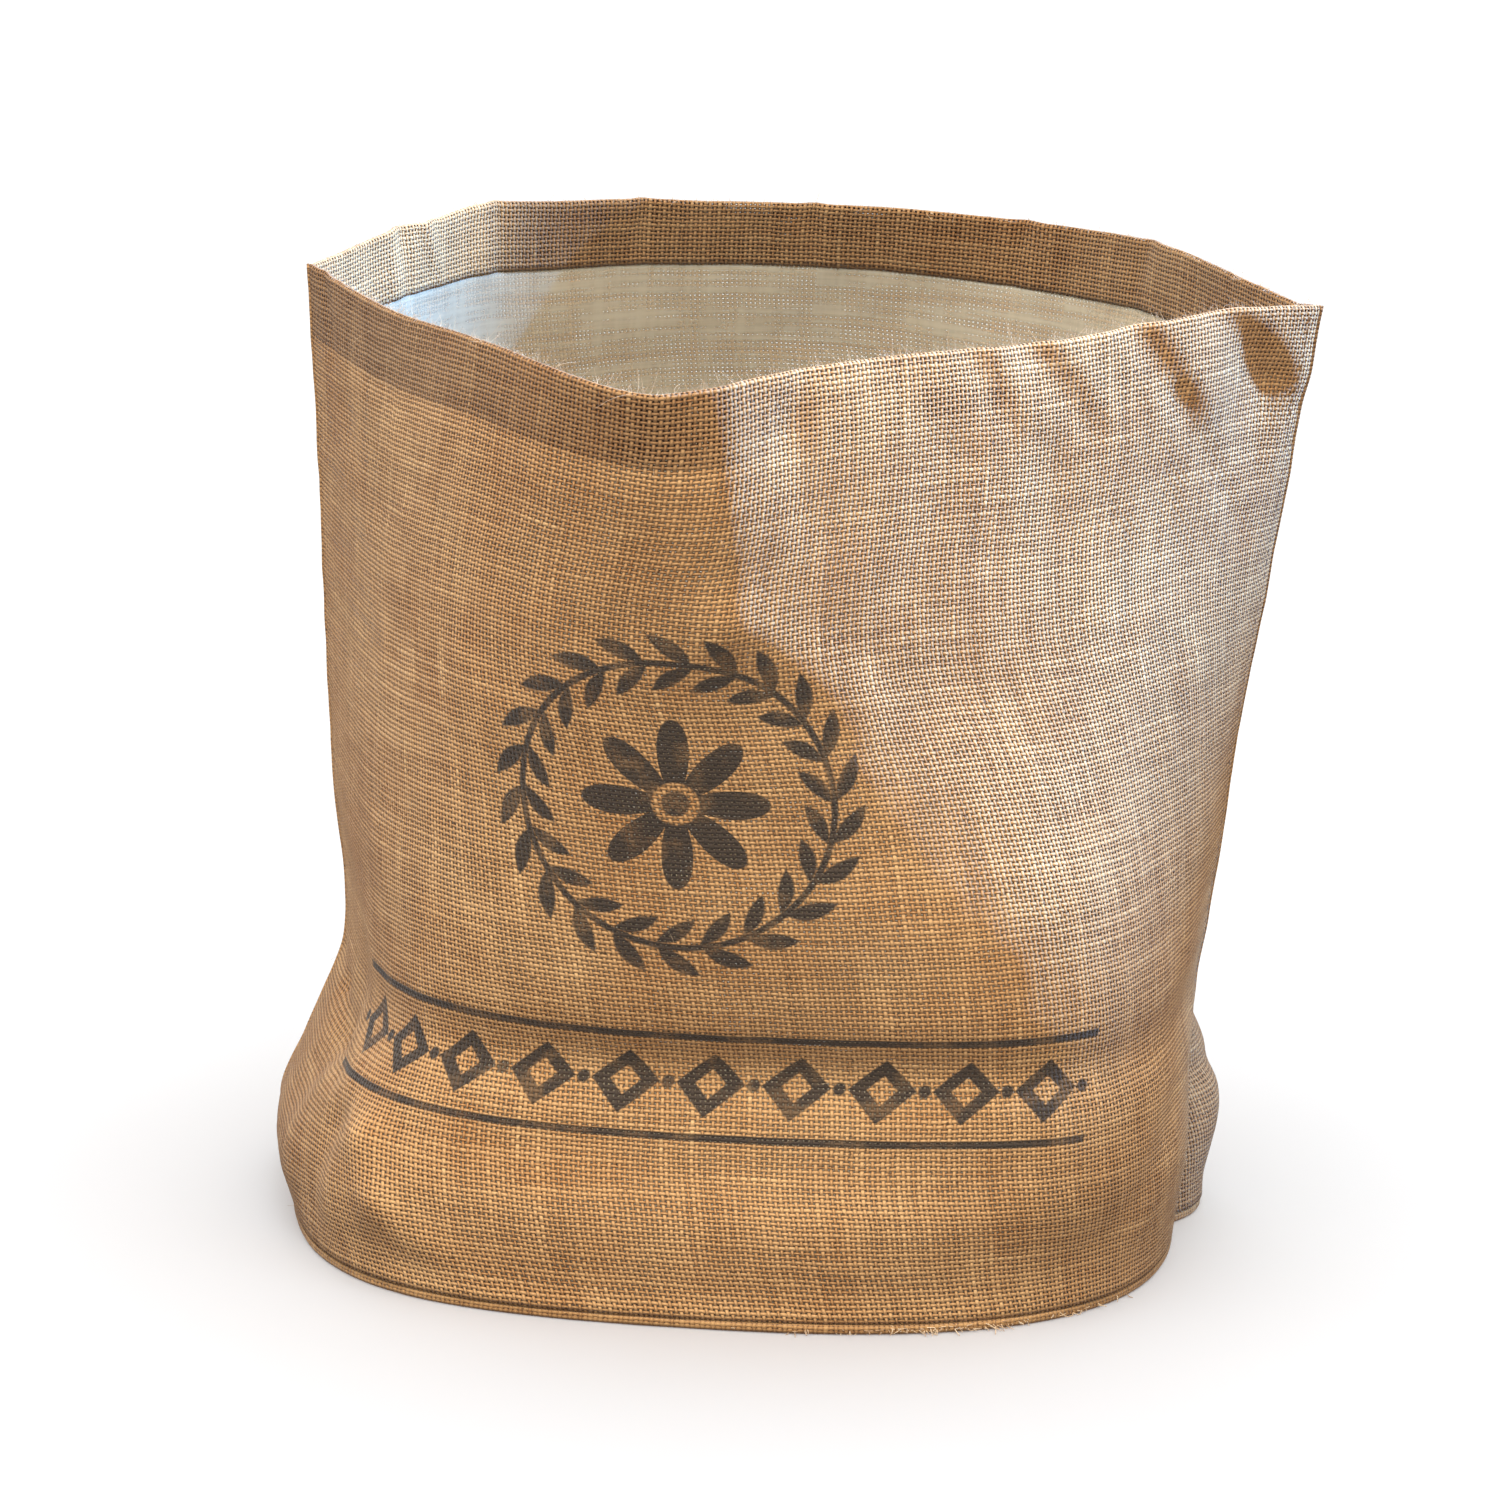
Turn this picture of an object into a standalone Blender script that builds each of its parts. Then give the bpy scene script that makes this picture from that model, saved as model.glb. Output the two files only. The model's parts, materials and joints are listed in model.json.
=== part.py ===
"""Burlap storage bag with a round base, standing open on a surface.

The bag is two plain-woven jute panels that meet at a side seam at each end of
the mouth, a round jute base whose sewn edge is rolled into a welt, and a clear
film bonded to the inside up to the hem.  All sizes are in metres, +Z is up, the
front of the bag faces -Y, and the origin is on the floor under the middle of
the base.

Cloth coordinates: "around" runs along the cloth from the left side seam over
the front to the right side seam and on over the back, and "up" runs along the
upright threads from the base seam to the rim.
"""
import math

import bmesh
import bpy
import numpy as np

MM = 0.001

# Cut sizes of the cloth.
PANEL_WIDTH = 597 * MM
CLOTH_HEIGHT = 398 * MM
CLOTH_THICKNESS = 1.5 * MM
HEM_DEPTH = 31 * MM
HEM_THICKNESS = 2 * CLOTH_THICKNESS
HEM_STEP = 0.6 * MM
RIM_CHAMFER = 0.7 * MM

# The base and the welt that its seam makes under the wall.
WELT_HEIGHT = 4 * MM
WELT_PROUD = 1 * MM
WELT_FOOT_PROUD = 0.2 * MM
WELT_DEPTH = 3.6 * MM
WELT_ROUND = 1 * MM

# The bonded film and the gaps between pieces.
FILM_THICKNESS = 1 * MM
GAP = 0.3 * MM
SEAM_GAP = 0.4 * MM
FILM_RAMP = 3 * MM

# Mesh steps: columns along one panel, rows up the plain part of the cloth.
PANEL_COLUMNS = 32
FOOT_ROWS = (0 * MM, 10 * MM, 20 * MM)
UPPER_ROWS_FROM = 30 * MM
UPPER_ROWS = 16
CURVE_STEPS = 24
MERGE = 1e-6
SHARP_ANGLE = math.radians(40)

# How full a panel's plan curve may be, and how often its fullness is halved.
BULGE_LIMITS = (0.12, 0.95)
BULGE_TRIES = 24

# The swells fade in over this height, so that the base seam stays flat.
SETTLE_HEIGHT = 22 * MM

# How much of the step up to the next row the film's top edge takes.
FILM_TIP = 0.9

# How the standing bag's plan changes with the distance up the cloth, in
# millimetres and degrees.  left and right are the side seams, front and back
# the points of the wall nearest to and farthest from the viewer.  The corner
# angles say how sharply each panel turns in from its seams: behind_right is the
# back panel's own angle at the right seam, below nought where it bulges past
# the seam.  fuller_left moves the front's fullness towards its left part.
SECTION_COLUMNS = (
    "up", "left_x", "left_y", "right_x", "right_y", "front_x", "front_y",
    "back_x", "back_y", "left_corner", "right_corner", "behind_right", "fuller_left",
)
SECTIONS = (
    (0, -192, 6, 176, -30, 0, -186, 2, 184, 0, 0, -47, 0.05),
    (25, -199, 4, 178, -30, 0, -183, 2, 188, 0, 0, -48, 0.04),
    (55, -190, 4, 180, -27, -3, -180, 1, 193, 2, 3, -36, 0.02),
    (90, -178, 6, 182, -19, -7, -183, 1, 197, 7, 7, 6, 0.00),
    (180, -182, -2, 189, -9, -21, -197, 4, 197, 12, 12, 12, 0.02),
    (280, -188, -14, 200, -19, -38, -219, 10, 182, 18, 20, 20, 0.06),
    (398, -195, -40, 212, -45, -50, -250, 28, 142, 24, 30, 30, 0.07),
)

# Soft swellings and hollows of the wall, in millimetres: where their middle
# is, how far they reach each way, and how far they stand out (or in).
SWELL_COLUMNS = ("name", "around", "up", "reach_around", "reach_up", "rise")
SWELLS = (
    ("cushion_behind_right_seam", 650, 38, 38, 22, 9),
    ("valley_at_right_seam", 600, 60, 20, 40, -4),
    ("left_crease_upper", 70, 76, 18, 34, -5),
    ("left_crease_lower", 112, 32, 18, 26, -4),
    ("front_break", 300, 94, 200, 16, 3),
    ("ridge_under_front_hem", 332, 326, 28, 70, 3),
    ("shoulder_right", 420, 175, 45, 55, 5),
    ("dip_right_of_middle", 385, 262, 45, 32, -4),
    ("fold_at_right_corner", 562, 362, 20, 34, -5),
    ("fold_in_left_back_hem", 1120, 368, 20, 30, -3),
    ("back_hollow", 900, 190, 110, 70, -6),
)

JUTE_COLOUR = (0.43, 0.27, 0.14, 1.0)
BASE_COLOUR = (0.33, 0.19, 0.10, 1.0)
FILM_COLOUR = (0.62, 0.58, 0.52, 1.0)
JUTE_ROUGHNESS = 0.9
FILM_ROUGHNESS = 0.3


def clear_scene():
    """Remove whatever the opened file holds."""
    for item in list(bpy.data.objects):
        bpy.data.objects.remove(item, do_unlink=True)


def section_values(up):
    """Return the section table's columns at the given cloth heights."""
    table = np.array(SECTIONS, float)
    knots = table[:, 0] * MM
    values = table[:, 1:]
    spans = np.diff(knots)
    slopes = np.diff(values, axis=0) / spans[:, None]
    weight = (spans[1:] / (spans[1:] + spans[:-1]))[:, None]
    middle = slopes[:-1] * weight + slopes[1:] * (1 - weight)
    tangents = np.vstack([slopes[:1], middle, slopes[-1:]])
    index = np.clip(np.searchsorted(knots, up) - 1, 0, len(spans) - 1)
    span = spans[index][:, None]
    t = ((up - knots[index]) / spans[index])[:, None]
    blended = (
        (2 * t**3 - 3 * t**2 + 1) * values[index]
        + (t**3 - 2 * t**2 + t) * span * tangents[index]
        + (3 * t**2 - 2 * t**3) * values[index + 1]
        + (t**3 - t**2) * span * tangents[index + 1]
    )
    return dict(zip(SECTION_COLUMNS[1:], blended.T))


def quarter_curve(start, start_way, end, end_way, bulge):
    """Return cubic curves from a seam to the middle of a panel, one a row."""
    t = np.linspace(0, 1, CURVE_STEPS + 1)[None, :, None]
    reach = np.hypot(*(end - start).T)[:, None] * bulge[:, None]
    first = start + start_way * reach
    second = end + end_way * reach
    return (
        (1 - t) ** 3 * start[:, None]
        + 3 * (1 - t) ** 2 * t * first[:, None]
        + 3 * (1 - t) * t**2 * second[:, None]
        + t**3 * end[:, None]
    )


def curve_lengths(curves):
    """Return the length of each polyline."""
    steps = np.diff(curves, axis=1)
    return np.hypot(steps[..., 0], steps[..., 1]).sum(axis=1)


def panel_curves(left, left_angle, middle, right, right_angle, fuller_left, side):
    """Return plan curves of a panel whose bulge uses up its cut width.

    side is -1 for the front and +1 for the back.
    """
    ones = np.ones(len(left))
    left_way = np.stack([np.sin(left_angle), side * np.cos(left_angle)], 1)
    right_way = np.stack([-np.sin(right_angle), side * np.cos(right_angle)], 1)
    to_left = np.stack([-ones, 0 * ones], 1)

    def curves(bulge):
        left_part = quarter_curve(left, left_way, middle, to_left, bulge + fuller_left)
        right_part = quarter_curve(right, right_way, middle, -to_left, bulge - fuller_left)
        return np.concatenate([left_part, right_part[:, -2::-1]], axis=1)

    low = BULGE_LIMITS[0] * ones
    high = BULGE_LIMITS[1] * ones
    for _ in range(BULGE_TRIES):
        bulge = (low + high) / 2
        too_long = curve_lengths(curves(bulge)) > PANEL_WIDTH
        high = np.where(too_long, bulge, high)
        low = np.where(too_long, low, bulge)
    return curves((low + high) / 2)


def even_points(curves, count):
    """Return count points spaced evenly along each polyline."""
    rows = []
    for curve in curves:
        steps = np.hypot(*np.diff(curve, axis=0).T)
        travel = np.concatenate([[0], np.cumsum(steps)])
        stops = np.linspace(0, travel[-1], count)
        rows.append(np.stack([np.interp(stops, travel, axis) for axis in curve.T], 1))
    return np.array(rows)


def swell_heights(around, up):
    """Return how far the wall stands out of its plain shape."""
    total = np.zeros(np.broadcast(around, up).shape)
    loop = 2 * PANEL_WIDTH
    for row in SWELLS:
        swell = dict(zip(SWELL_COLUMNS, row))
        across = (around - swell["around"] * MM + loop / 2) % loop - loop / 2
        climb = up - swell["up"] * MM
        spread = (across / (swell["reach_around"] * MM)) ** 2
        spread = spread + (climb / (swell["reach_up"] * MM)) ** 2
        total += swell["rise"] * MM * np.exp(-spread)
    settle = np.clip(up / SETTLE_HEIGHT, 0, 1)
    return total * settle**2 * (3 - 2 * settle)


def loop_normals(points):
    """Return outward unit normals of a closed ring of cloth columns, mitred.

    points[row, column] runs round the bag once, with no repeated column.
    """
    ahead = np.roll(points, -1, axis=1) - points
    behind = points - np.roll(points, 1, axis=1)
    ahead /= np.linalg.norm(ahead, axis=2, keepdims=True)
    behind /= np.linalg.norm(behind, axis=2, keepdims=True)
    along = ahead + behind
    upward = np.gradient(points, axis=0)
    normals = np.cross(along, upward)
    normals /= np.linalg.norm(normals, axis=2, keepdims=True)
    mitre = np.sqrt((1 + (ahead * behind).sum(axis=2, keepdims=True)) / 2)
    return normals / mitre


def wall_surface(up):
    """Return the outer cloth surface and its normals at the given cloth heights.

    Columns start at the left seam, pass the right seam and stop one short of
    the left seam again.  Each upright thread keeps its length: what it spends
    sideways it loses in height.
    """
    values = section_values(up)

    def place(name):
        return np.stack([values[name + "_x"], values[name + "_y"]], 1) * MM

    left, right = place("left"), place("right")
    left_angle = np.radians(values["left_corner"])
    right_angle = np.radians(values["right_corner"])
    behind_angle = np.radians(values["behind_right"])
    evenly = np.zeros(len(up))
    front_plan = panel_curves(
        left, left_angle, place("front"), right, right_angle, values["fuller_left"], -1
    )
    back_plan = panel_curves(
        left, left_angle, place("back"), right, behind_angle, evenly, 1
    )
    front_points = even_points(front_plan, PANEL_COLUMNS + 1)
    back_points = even_points(back_plan, PANEL_COLUMNS + 1)[:, ::-1]
    plan = np.concatenate([front_points[:, :-1], back_points[:, :-1]], axis=1)
    sideways = np.linalg.norm(np.diff(plan, axis=0), axis=2)
    climb = np.sqrt(np.maximum(np.diff(up)[:, None] ** 2 - sideways**2, 0))
    start = np.full((1, plan.shape[1]), WELT_HEIGHT + GAP)
    height = np.concatenate([start, start + np.cumsum(climb, axis=0)])
    points = np.dstack([plan, height])
    around = np.arange(2 * PANEL_COLUMNS) * PANEL_WIDTH / PANEL_COLUMNS
    swell = swell_heights(around[None, :], up[:, None])
    points = points + loop_normals(points) * swell[..., None]
    normals = loop_normals(points)
    normals[0, :, 2] = 0
    return points, normals


def cloth_heights():
    """Return the rows of the wall, close together at the hem's edge and rim."""
    hem_edge = CLOTH_HEIGHT - HEM_DEPTH
    upper = np.linspace(UPPER_ROWS_FROM, hem_edge - HEM_STEP, UPPER_ROWS)
    hem = (hem_edge, CLOTH_HEIGHT - HEM_DEPTH / 2)
    rim = (CLOTH_HEIGHT - RIM_CHAMFER, CLOTH_HEIGHT)
    return np.concatenate([FOOT_ROWS, upper, hem, rim])


def new_material(name, colour, roughness):
    """Return a plain material with the piece's colour."""
    material = bpy.data.materials.new(name)
    material.use_nodes = True
    shader = material.node_tree.nodes["Principled BSDF"]
    shader.inputs["Base Color"].default_value = colour
    shader.inputs["Roughness"].default_value = roughness
    shader.inputs["Metallic"].default_value = 0.0
    return material


def grid_mesh(points):
    """Return a triangulated bmesh grid laid on points, with its rows numbered."""
    rows, columns = points.shape[:2]
    mesh = bmesh.new()
    bmesh.ops.create_grid(mesh, x_segments=columns - 1, y_segments=rows - 1, size=0.5)
    number = mesh.verts.layers.int.new("number")
    mesh.verts.ensure_lookup_table()
    flat = points.reshape(-1, 3)
    for index, vertex in enumerate(mesh.verts):
        vertex[number] = index
        vertex.co = flat[index]
    bmesh.ops.triangulate(mesh, faces=mesh.faces[:], quad_method="FIXED")
    bmesh.ops.remove_doubles(mesh, verts=mesh.verts[:], dist=MERGE)
    return mesh, number


def finish_object(mesh, name, material):
    """Close and orient the mesh and link it as a named object."""
    bmesh.ops.remove_doubles(mesh, verts=mesh.verts[:], dist=MERGE)
    bmesh.ops.recalc_face_normals(mesh, faces=mesh.faces[:])
    data = bpy.data.meshes.new(name)
    mesh.to_mesh(data)
    mesh.free()
    data.materials.append(material)
    data.shade_smooth()
    data.set_sharp_from_angle(angle=SHARP_ANGLE)
    piece = bpy.data.objects.new(name, data)
    bpy.context.collection.objects.link(piece)
    return piece


def thick_sheet(name, outer, inner, material):
    """Build a closed sheet between two matching grids of points."""
    mesh, number = grid_mesh(outer)
    grown = bmesh.ops.extrude_face_region(mesh, geom=mesh.faces[:], use_keep_orig=True)
    inner_points = inner.reshape(-1, 3)
    for item in grown["geom"]:
        if isinstance(item, bmesh.types.BMVert):
            item.co = inner_points[item[number]]
    return finish_object(mesh, name, material)


def build_panel(name, first_column, points, normals, up, material):
    """Build one jute panel with its turned-in hem, between the two side seams."""
    columns = np.arange(first_column, first_column + PANEL_COLUMNS + 1)
    columns = columns % (2 * PANEL_COLUMNS)
    surface = points[:, columns]
    inward = -normals[:, columns]
    in_hem = up >= CLOTH_HEIGHT - HEM_DEPTH - HEM_STEP / 2
    depth = np.where(in_hem, HEM_THICKNESS, CLOTH_THICKNESS)
    chamfer = np.where(up >= CLOTH_HEIGHT - RIM_CHAMFER / 2, RIM_CHAMFER, 0)
    outer = surface + inward * chamfer[:, None, None]
    inner = surface + inward * (depth - chamfer)[:, None, None]
    for sheet in (outer, inner):
        for end, beside in ((0, 1), (-1, -2)):
            way = sheet[:, beside] - sheet[:, end]
            way /= np.linalg.norm(way, axis=1, keepdims=True)
            sheet[:, end] += way * SEAM_GAP / 2
    return thick_sheet(name, outer, inner, material)


def plan_ring(points, normals, inset, height):
    """Return the wall's bottom ring moved inwards and set at a height."""
    ring = points[0] - normals[0] * [1, 1, 0] * inset
    ring[:, 2] = height
    return ring


def pole(count, height):
    """Return a ring shrunk to a point over the middle of the base."""
    return np.tile([0.0, 0.0, height], (count, 1))


def closed_rings(rings):
    """Return the rings as a grid whose last column repeats the first."""
    grid = np.array(rings)
    return np.concatenate([grid, grid[:, :1]], axis=1)


def build_base(points, normals, material):
    """Build the round base, flat underneath, with its rolled welt."""
    count = points.shape[1]
    profile = (
        (WELT_DEPTH, 0.0),
        (-WELT_FOOT_PROUD, 0.0),
        (-WELT_PROUD, WELT_ROUND),
        (-WELT_PROUD, WELT_HEIGHT - WELT_ROUND),
        (0.0, WELT_HEIGHT),
        (WELT_DEPTH - WELT_ROUND, WELT_HEIGHT),
        (WELT_DEPTH, WELT_HEIGHT - WELT_ROUND),
        (WELT_DEPTH, CLOTH_THICKNESS),
    )
    rings = [plan_ring(points, normals, inset, height) for inset, height in profile]
    rings = [pole(count, 0.0)] + rings + [pole(count, CLOTH_THICKNESS)]
    mesh, _ = grid_mesh(closed_rings(rings))
    return finish_object(mesh, "base_panel", material)


def build_film(points, normals, up, material):
    """Build the film: a cup that covers the base and the wall below the hem."""
    count = points.shape[1]
    clear = CLOTH_THICKNESS + GAP
    below_hem = np.count_nonzero(up < CLOTH_HEIGHT - HEM_DEPTH - HEM_STEP / 2)
    sheets = []
    for layer in (0.0, FILM_THICKNESS):
        wall = (points - normals * (clear + layer))[:below_hem]
        wall[0, :, 2] = WELT_HEIGHT + 2 * GAP + layer
        tip = wall[-2] + (wall[-1] - wall[-2]) * FILM_TIP
        floor = (
            (WELT_DEPTH + GAP + FILM_RAMP + layer, CLOTH_THICKNESS + GAP + layer),
            (WELT_DEPTH + GAP + layer, WELT_HEIGHT + GAP + layer),
        )
        rings = [pole(count, CLOTH_THICKNESS + GAP + layer)]
        rings += [plan_ring(points, normals, inset, height) for inset, height in floor]
        rings += list(wall[:-1]) + [tip]
        sheets.append(closed_rings(rings))
    return thick_sheet("film_lining", sheets[0], sheets[1], material)


def main():
    """Build the bag."""
    clear_scene()
    jute = new_material("jute", JUTE_COLOUR, JUTE_ROUGHNESS)
    base_jute = new_material("base_jute", BASE_COLOUR, JUTE_ROUGHNESS)
    film = new_material("film", FILM_COLOUR, FILM_ROUGHNESS)
    up = cloth_heights()
    points, normals = wall_surface(up)
    build_panel("front_panel", 0, points, normals, up, jute)
    build_panel("back_panel", PANEL_COLUMNS, points, normals, up, jute)
    build_base(points, normals, base_jute)
    build_film(points, normals, up, film)


main()
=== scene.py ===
"""Looks of the burlap storage bag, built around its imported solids.

The bag is plain-woven jute: two panels with a turned-in hem, sewn to a round base
whose seam is rolled into a welt, with a clear film bonded to the inside.  All
sizes are in metres, +Z is up and the front of the bag faces -Y.

Cloth coordinates: "around" runs along the cloth from the left side seam over the
front to the right side seam and on over the back, and "up" runs along the upright
threads from the base seam to the rim.
"""
import json
import logging
import math
from dataclasses import dataclass, field
from enum import Enum

import bmesh
import bpy
import numpy as np
from mathutils import Matrix, Vector, noise

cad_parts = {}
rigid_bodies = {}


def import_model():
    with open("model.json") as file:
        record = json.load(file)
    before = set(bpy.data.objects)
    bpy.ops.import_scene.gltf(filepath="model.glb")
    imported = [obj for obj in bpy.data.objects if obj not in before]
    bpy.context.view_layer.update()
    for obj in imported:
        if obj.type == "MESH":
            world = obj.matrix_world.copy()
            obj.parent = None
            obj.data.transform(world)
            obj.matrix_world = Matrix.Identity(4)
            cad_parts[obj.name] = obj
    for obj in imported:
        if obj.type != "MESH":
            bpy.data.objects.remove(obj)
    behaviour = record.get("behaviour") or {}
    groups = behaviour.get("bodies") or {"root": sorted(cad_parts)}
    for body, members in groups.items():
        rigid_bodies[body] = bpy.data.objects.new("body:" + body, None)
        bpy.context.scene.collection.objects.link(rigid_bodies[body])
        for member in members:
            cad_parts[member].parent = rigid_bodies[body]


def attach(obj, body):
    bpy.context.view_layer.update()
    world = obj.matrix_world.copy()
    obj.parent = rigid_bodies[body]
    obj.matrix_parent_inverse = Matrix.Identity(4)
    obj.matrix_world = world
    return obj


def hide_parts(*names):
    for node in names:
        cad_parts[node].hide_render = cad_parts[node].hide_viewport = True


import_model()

LOG = logging.getLogger("bag")
MM = 0.001
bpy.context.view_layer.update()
PANEL_WIDTH = 597 * MM
PANEL_COLUMNS = 240
FILM_COLUMNS = 190

Colour = tuple[float, float, float]


# ---------------------------------------------------------------- cloth shape

# The plan of the wall at seven cloth heights: millimetres, but degrees for the three
# corner angles and a plain share for how much fuller the left part is.
SECTION_COLUMNS = (
    "up", "left_x", "left_y", "right_x", "right_y", "front_x", "front_y",
    "back_x", "back_y", "left_corner", "right_corner", "behind_right", "fuller_left",
)
SECTIONS = (
    (0, -192, 6, 176, -30, 0, -186, 2, 184, 0, 0, -47, 0.05),
    (25, -199, 4, 178, -30, 0, -183, 2, 188, 0, 0, -48, 0.04),
    (55, -190, 4, 180, -27, -3, -180, 1, 193, 2, 3, -36, 0.02),
    (90, -178, 6, 182, -19, -7, -183, 1, 197, 7, 7, 6, 0.00),
    (180, -182, -2, 189, -9, -21, -197, 4, 197, 12, 12, 12, 0.02),
    (280, -188, -14, 200, -19, -38, -219, 10, 182, 18, 20, 20, 0.06),
    (398, -195, -40, 212, -45, -50, -250, 28, 142, 24, 30, 30, 0.07),
)

# Soft swells (rise above nought) and hollows, each fading over its two reaches.
SWELL_COLUMNS = ("name", "around", "up", "reach_around", "reach_up", "rise")
SWELLS = (
    ("cushion_behind_right_seam", 650, 38, 38, 22, 9),
    ("valley_at_right_seam", 600, 60, 20, 40, -4),
    ("left_crease_upper", 70, 76, 18, 34, -5),
    ("left_crease_lower", 112, 32, 18, 26, -4),
    ("front_break", 300, 104, 215, 15, -7),
    ("belly_above_break", 330, 165, 190, 26, 2),
    ("cushion_along_front_foot", 310, 40, 205, 24, 6),
    ("ridge_under_front_hem", 286, 335, 30, 62, 4.5),
    ("shoulder_right", 420, 175, 45, 55, 5),
    ("dip_right_of_middle", 385, 262, 45, 32, -4),
    ("fold_at_right_corner", 562, 362, 20, 34, -5),
    ("fold_in_left_back_hem", 1120, 368, 20, 30, -3),
    ("back_hollow", 900, 190, 110, 70, -6),
)

# Narrow creases: a soft trough (rise below nought) or ridge along a short line.
CREASE_COLUMNS = ("name", "around", "up", "to_around", "to_up", "reach", "rise")
CREASES = (
    ("corner_fold_trough", 536, 400, 586, 354, 11.0, -2.6),
    ("corner_fold_ridge", 552, 402, 594, 368, 8.0, 1.6),
    ("corner_fold_tail", 574, 364, 572, 326, 8.0, -1.4),
    ("second_fold_trough", 488, 400, 520, 360, 8.0, -2.1),
    ("second_fold_tail", 516, 364, 560, 304, 8.0, -1.5),
    ("second_fold_ridge", 504, 400, 534, 358, 6.5, 1.2),
    ("third_fold_trough", 435, 400, 466, 362, 7.5, -1.9),
    ("third_fold_ridge", 450, 400, 478, 364, 6.0, 1.0),
    ("fourth_fold_trough", 405, 400, 424, 366, 6.5, -1.4),
    ("fourth_fold_ridge", 418, 400, 434, 370, 5.5, 0.8),
    ("dip_beside_lit_ridge", 322, 376, 330, 318, 11.0, -1.5),
    ("dip_under_right_hem", 396, 356, 376, 304, 13.0, -1.7),
    ("dip_below_third_fold", 446, 350, 450, 312, 11.0, -1.3),
    ("lit_ridge_upper", 289, 400, 292, 298, 12.0, 2.4),
    ("lit_ridge_middle", 296, 300, 354, 256, 13.0, 2.8),
    ("middle_hem_dent", 330, 398, 318, 372, 9.0, -1.4),
    ("inner_left_crease_1", 34, 89, 118, 70, 7.0, -3.2),
    ("inner_left_edge_2", 122, 70, 156, 56, 9.0, 2.4),
    ("inner_left_edge_3", 156, 56, 174, 32, 10.0, 3.6),
    ("inner_left_edge_4", 174, 32, 218, 2, 10.0, 3.4),
    ("outer_left_trough", 131, 58, 128, 16, 11.0, -5.0),
    ("left_waist_crease", 8, 96, 60, 78, 7.0, -1.6),
    ("right_foot_crease", 520, 70, 470, 22, 12.0, -1.6),
    ("kink_left_hem_outside", 16, 396, 30, 366, 5.0, -1.3),
    ("back_hem_kink_1", 1122, 399, 1118, 368, 5.0, 1.8),
    ("back_hem_kink_2", 1051, 399, 1049, 370, 5.0, 1.5),
    ("back_hem_kink_3", 976, 399, 975, 372, 4.5, 1.2),
    ("back_hem_kink_4", 901, 399, 899, 372, 5.0, 1.4),
    ("back_hem_kink_5", 809, 399, 812, 370, 5.0, 1.5),
    ("back_hem_kink_6", 737, 399, 742, 368, 6.0, 1.7),
    ("left_hem_inside_crease", 1104, 399, 1092, 374, 4.0, -1.6),
    ("crease_over_cushion", 600, 62, 668, 52, 6.0, -2.6),
)

# How far the upright threads lean along the panel: pairs of cloth height and slope.
THREAD_LEAN = (
    (0, 0.20), (25, 0.30), (45, 0.45), (80, 0.30), (130, 0.16), (200, 0.12),
    (262, 0.20), (286, 0.00), (322, -0.18), (362, -0.05), (398, 0.00),
)

# Steps in which the lean is summed up.
LEAN_STEPS = 400

# How far the rim stands above its plain height: pairs of cloth position and lift.
RIM_LIFT = (
    (0, 0), (600, 0), (612, -1), (640, 3), (670, 5), (710, 5), (737, 4.5), (775, 2.6),
    (809, 1.8), (866, 1.4), (901, 1.0), (946, 0.8), (976, 2.4), (1020, 3.6), (1051, 5),
    (1066, 4.2), (1090, 1.2), (1122, 1.4), (1150, 0), (1194, 0),
)


@dataclass(frozen=True)
class WallGrid:
    """The outer cloth surface on a regular grid of cloth coordinates.

    points[row, column] and normals[row, column] run once round the bag.
    """

    points: np.ndarray
    normals: np.ndarray
    up: np.ndarray
    columns_per_panel: int

    def at(self, up: np.ndarray, depth: np.ndarray) -> np.ndarray:
        """Return rows of points at cloth heights, sunk inwards.

        Args:
            up: cloth height of each wanted row.
            depth: how far each row lies inside the outer surface.

        Returns:
            Points of shape (rows, columns, 3).
        """
        index = np.clip(np.searchsorted(self.up, up) - 1, 0, len(self.up) - 2)
        share = (up - self.up[index]) / (self.up[index + 1] - self.up[index])
        share = share[:, None, None]
        place = self.points[index] * (1 - share) + self.points[index + 1] * share
        way = self.normals[index] * (1 - share) + self.normals[index + 1] * share
        return place - way * depth[:, None, None]


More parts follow.
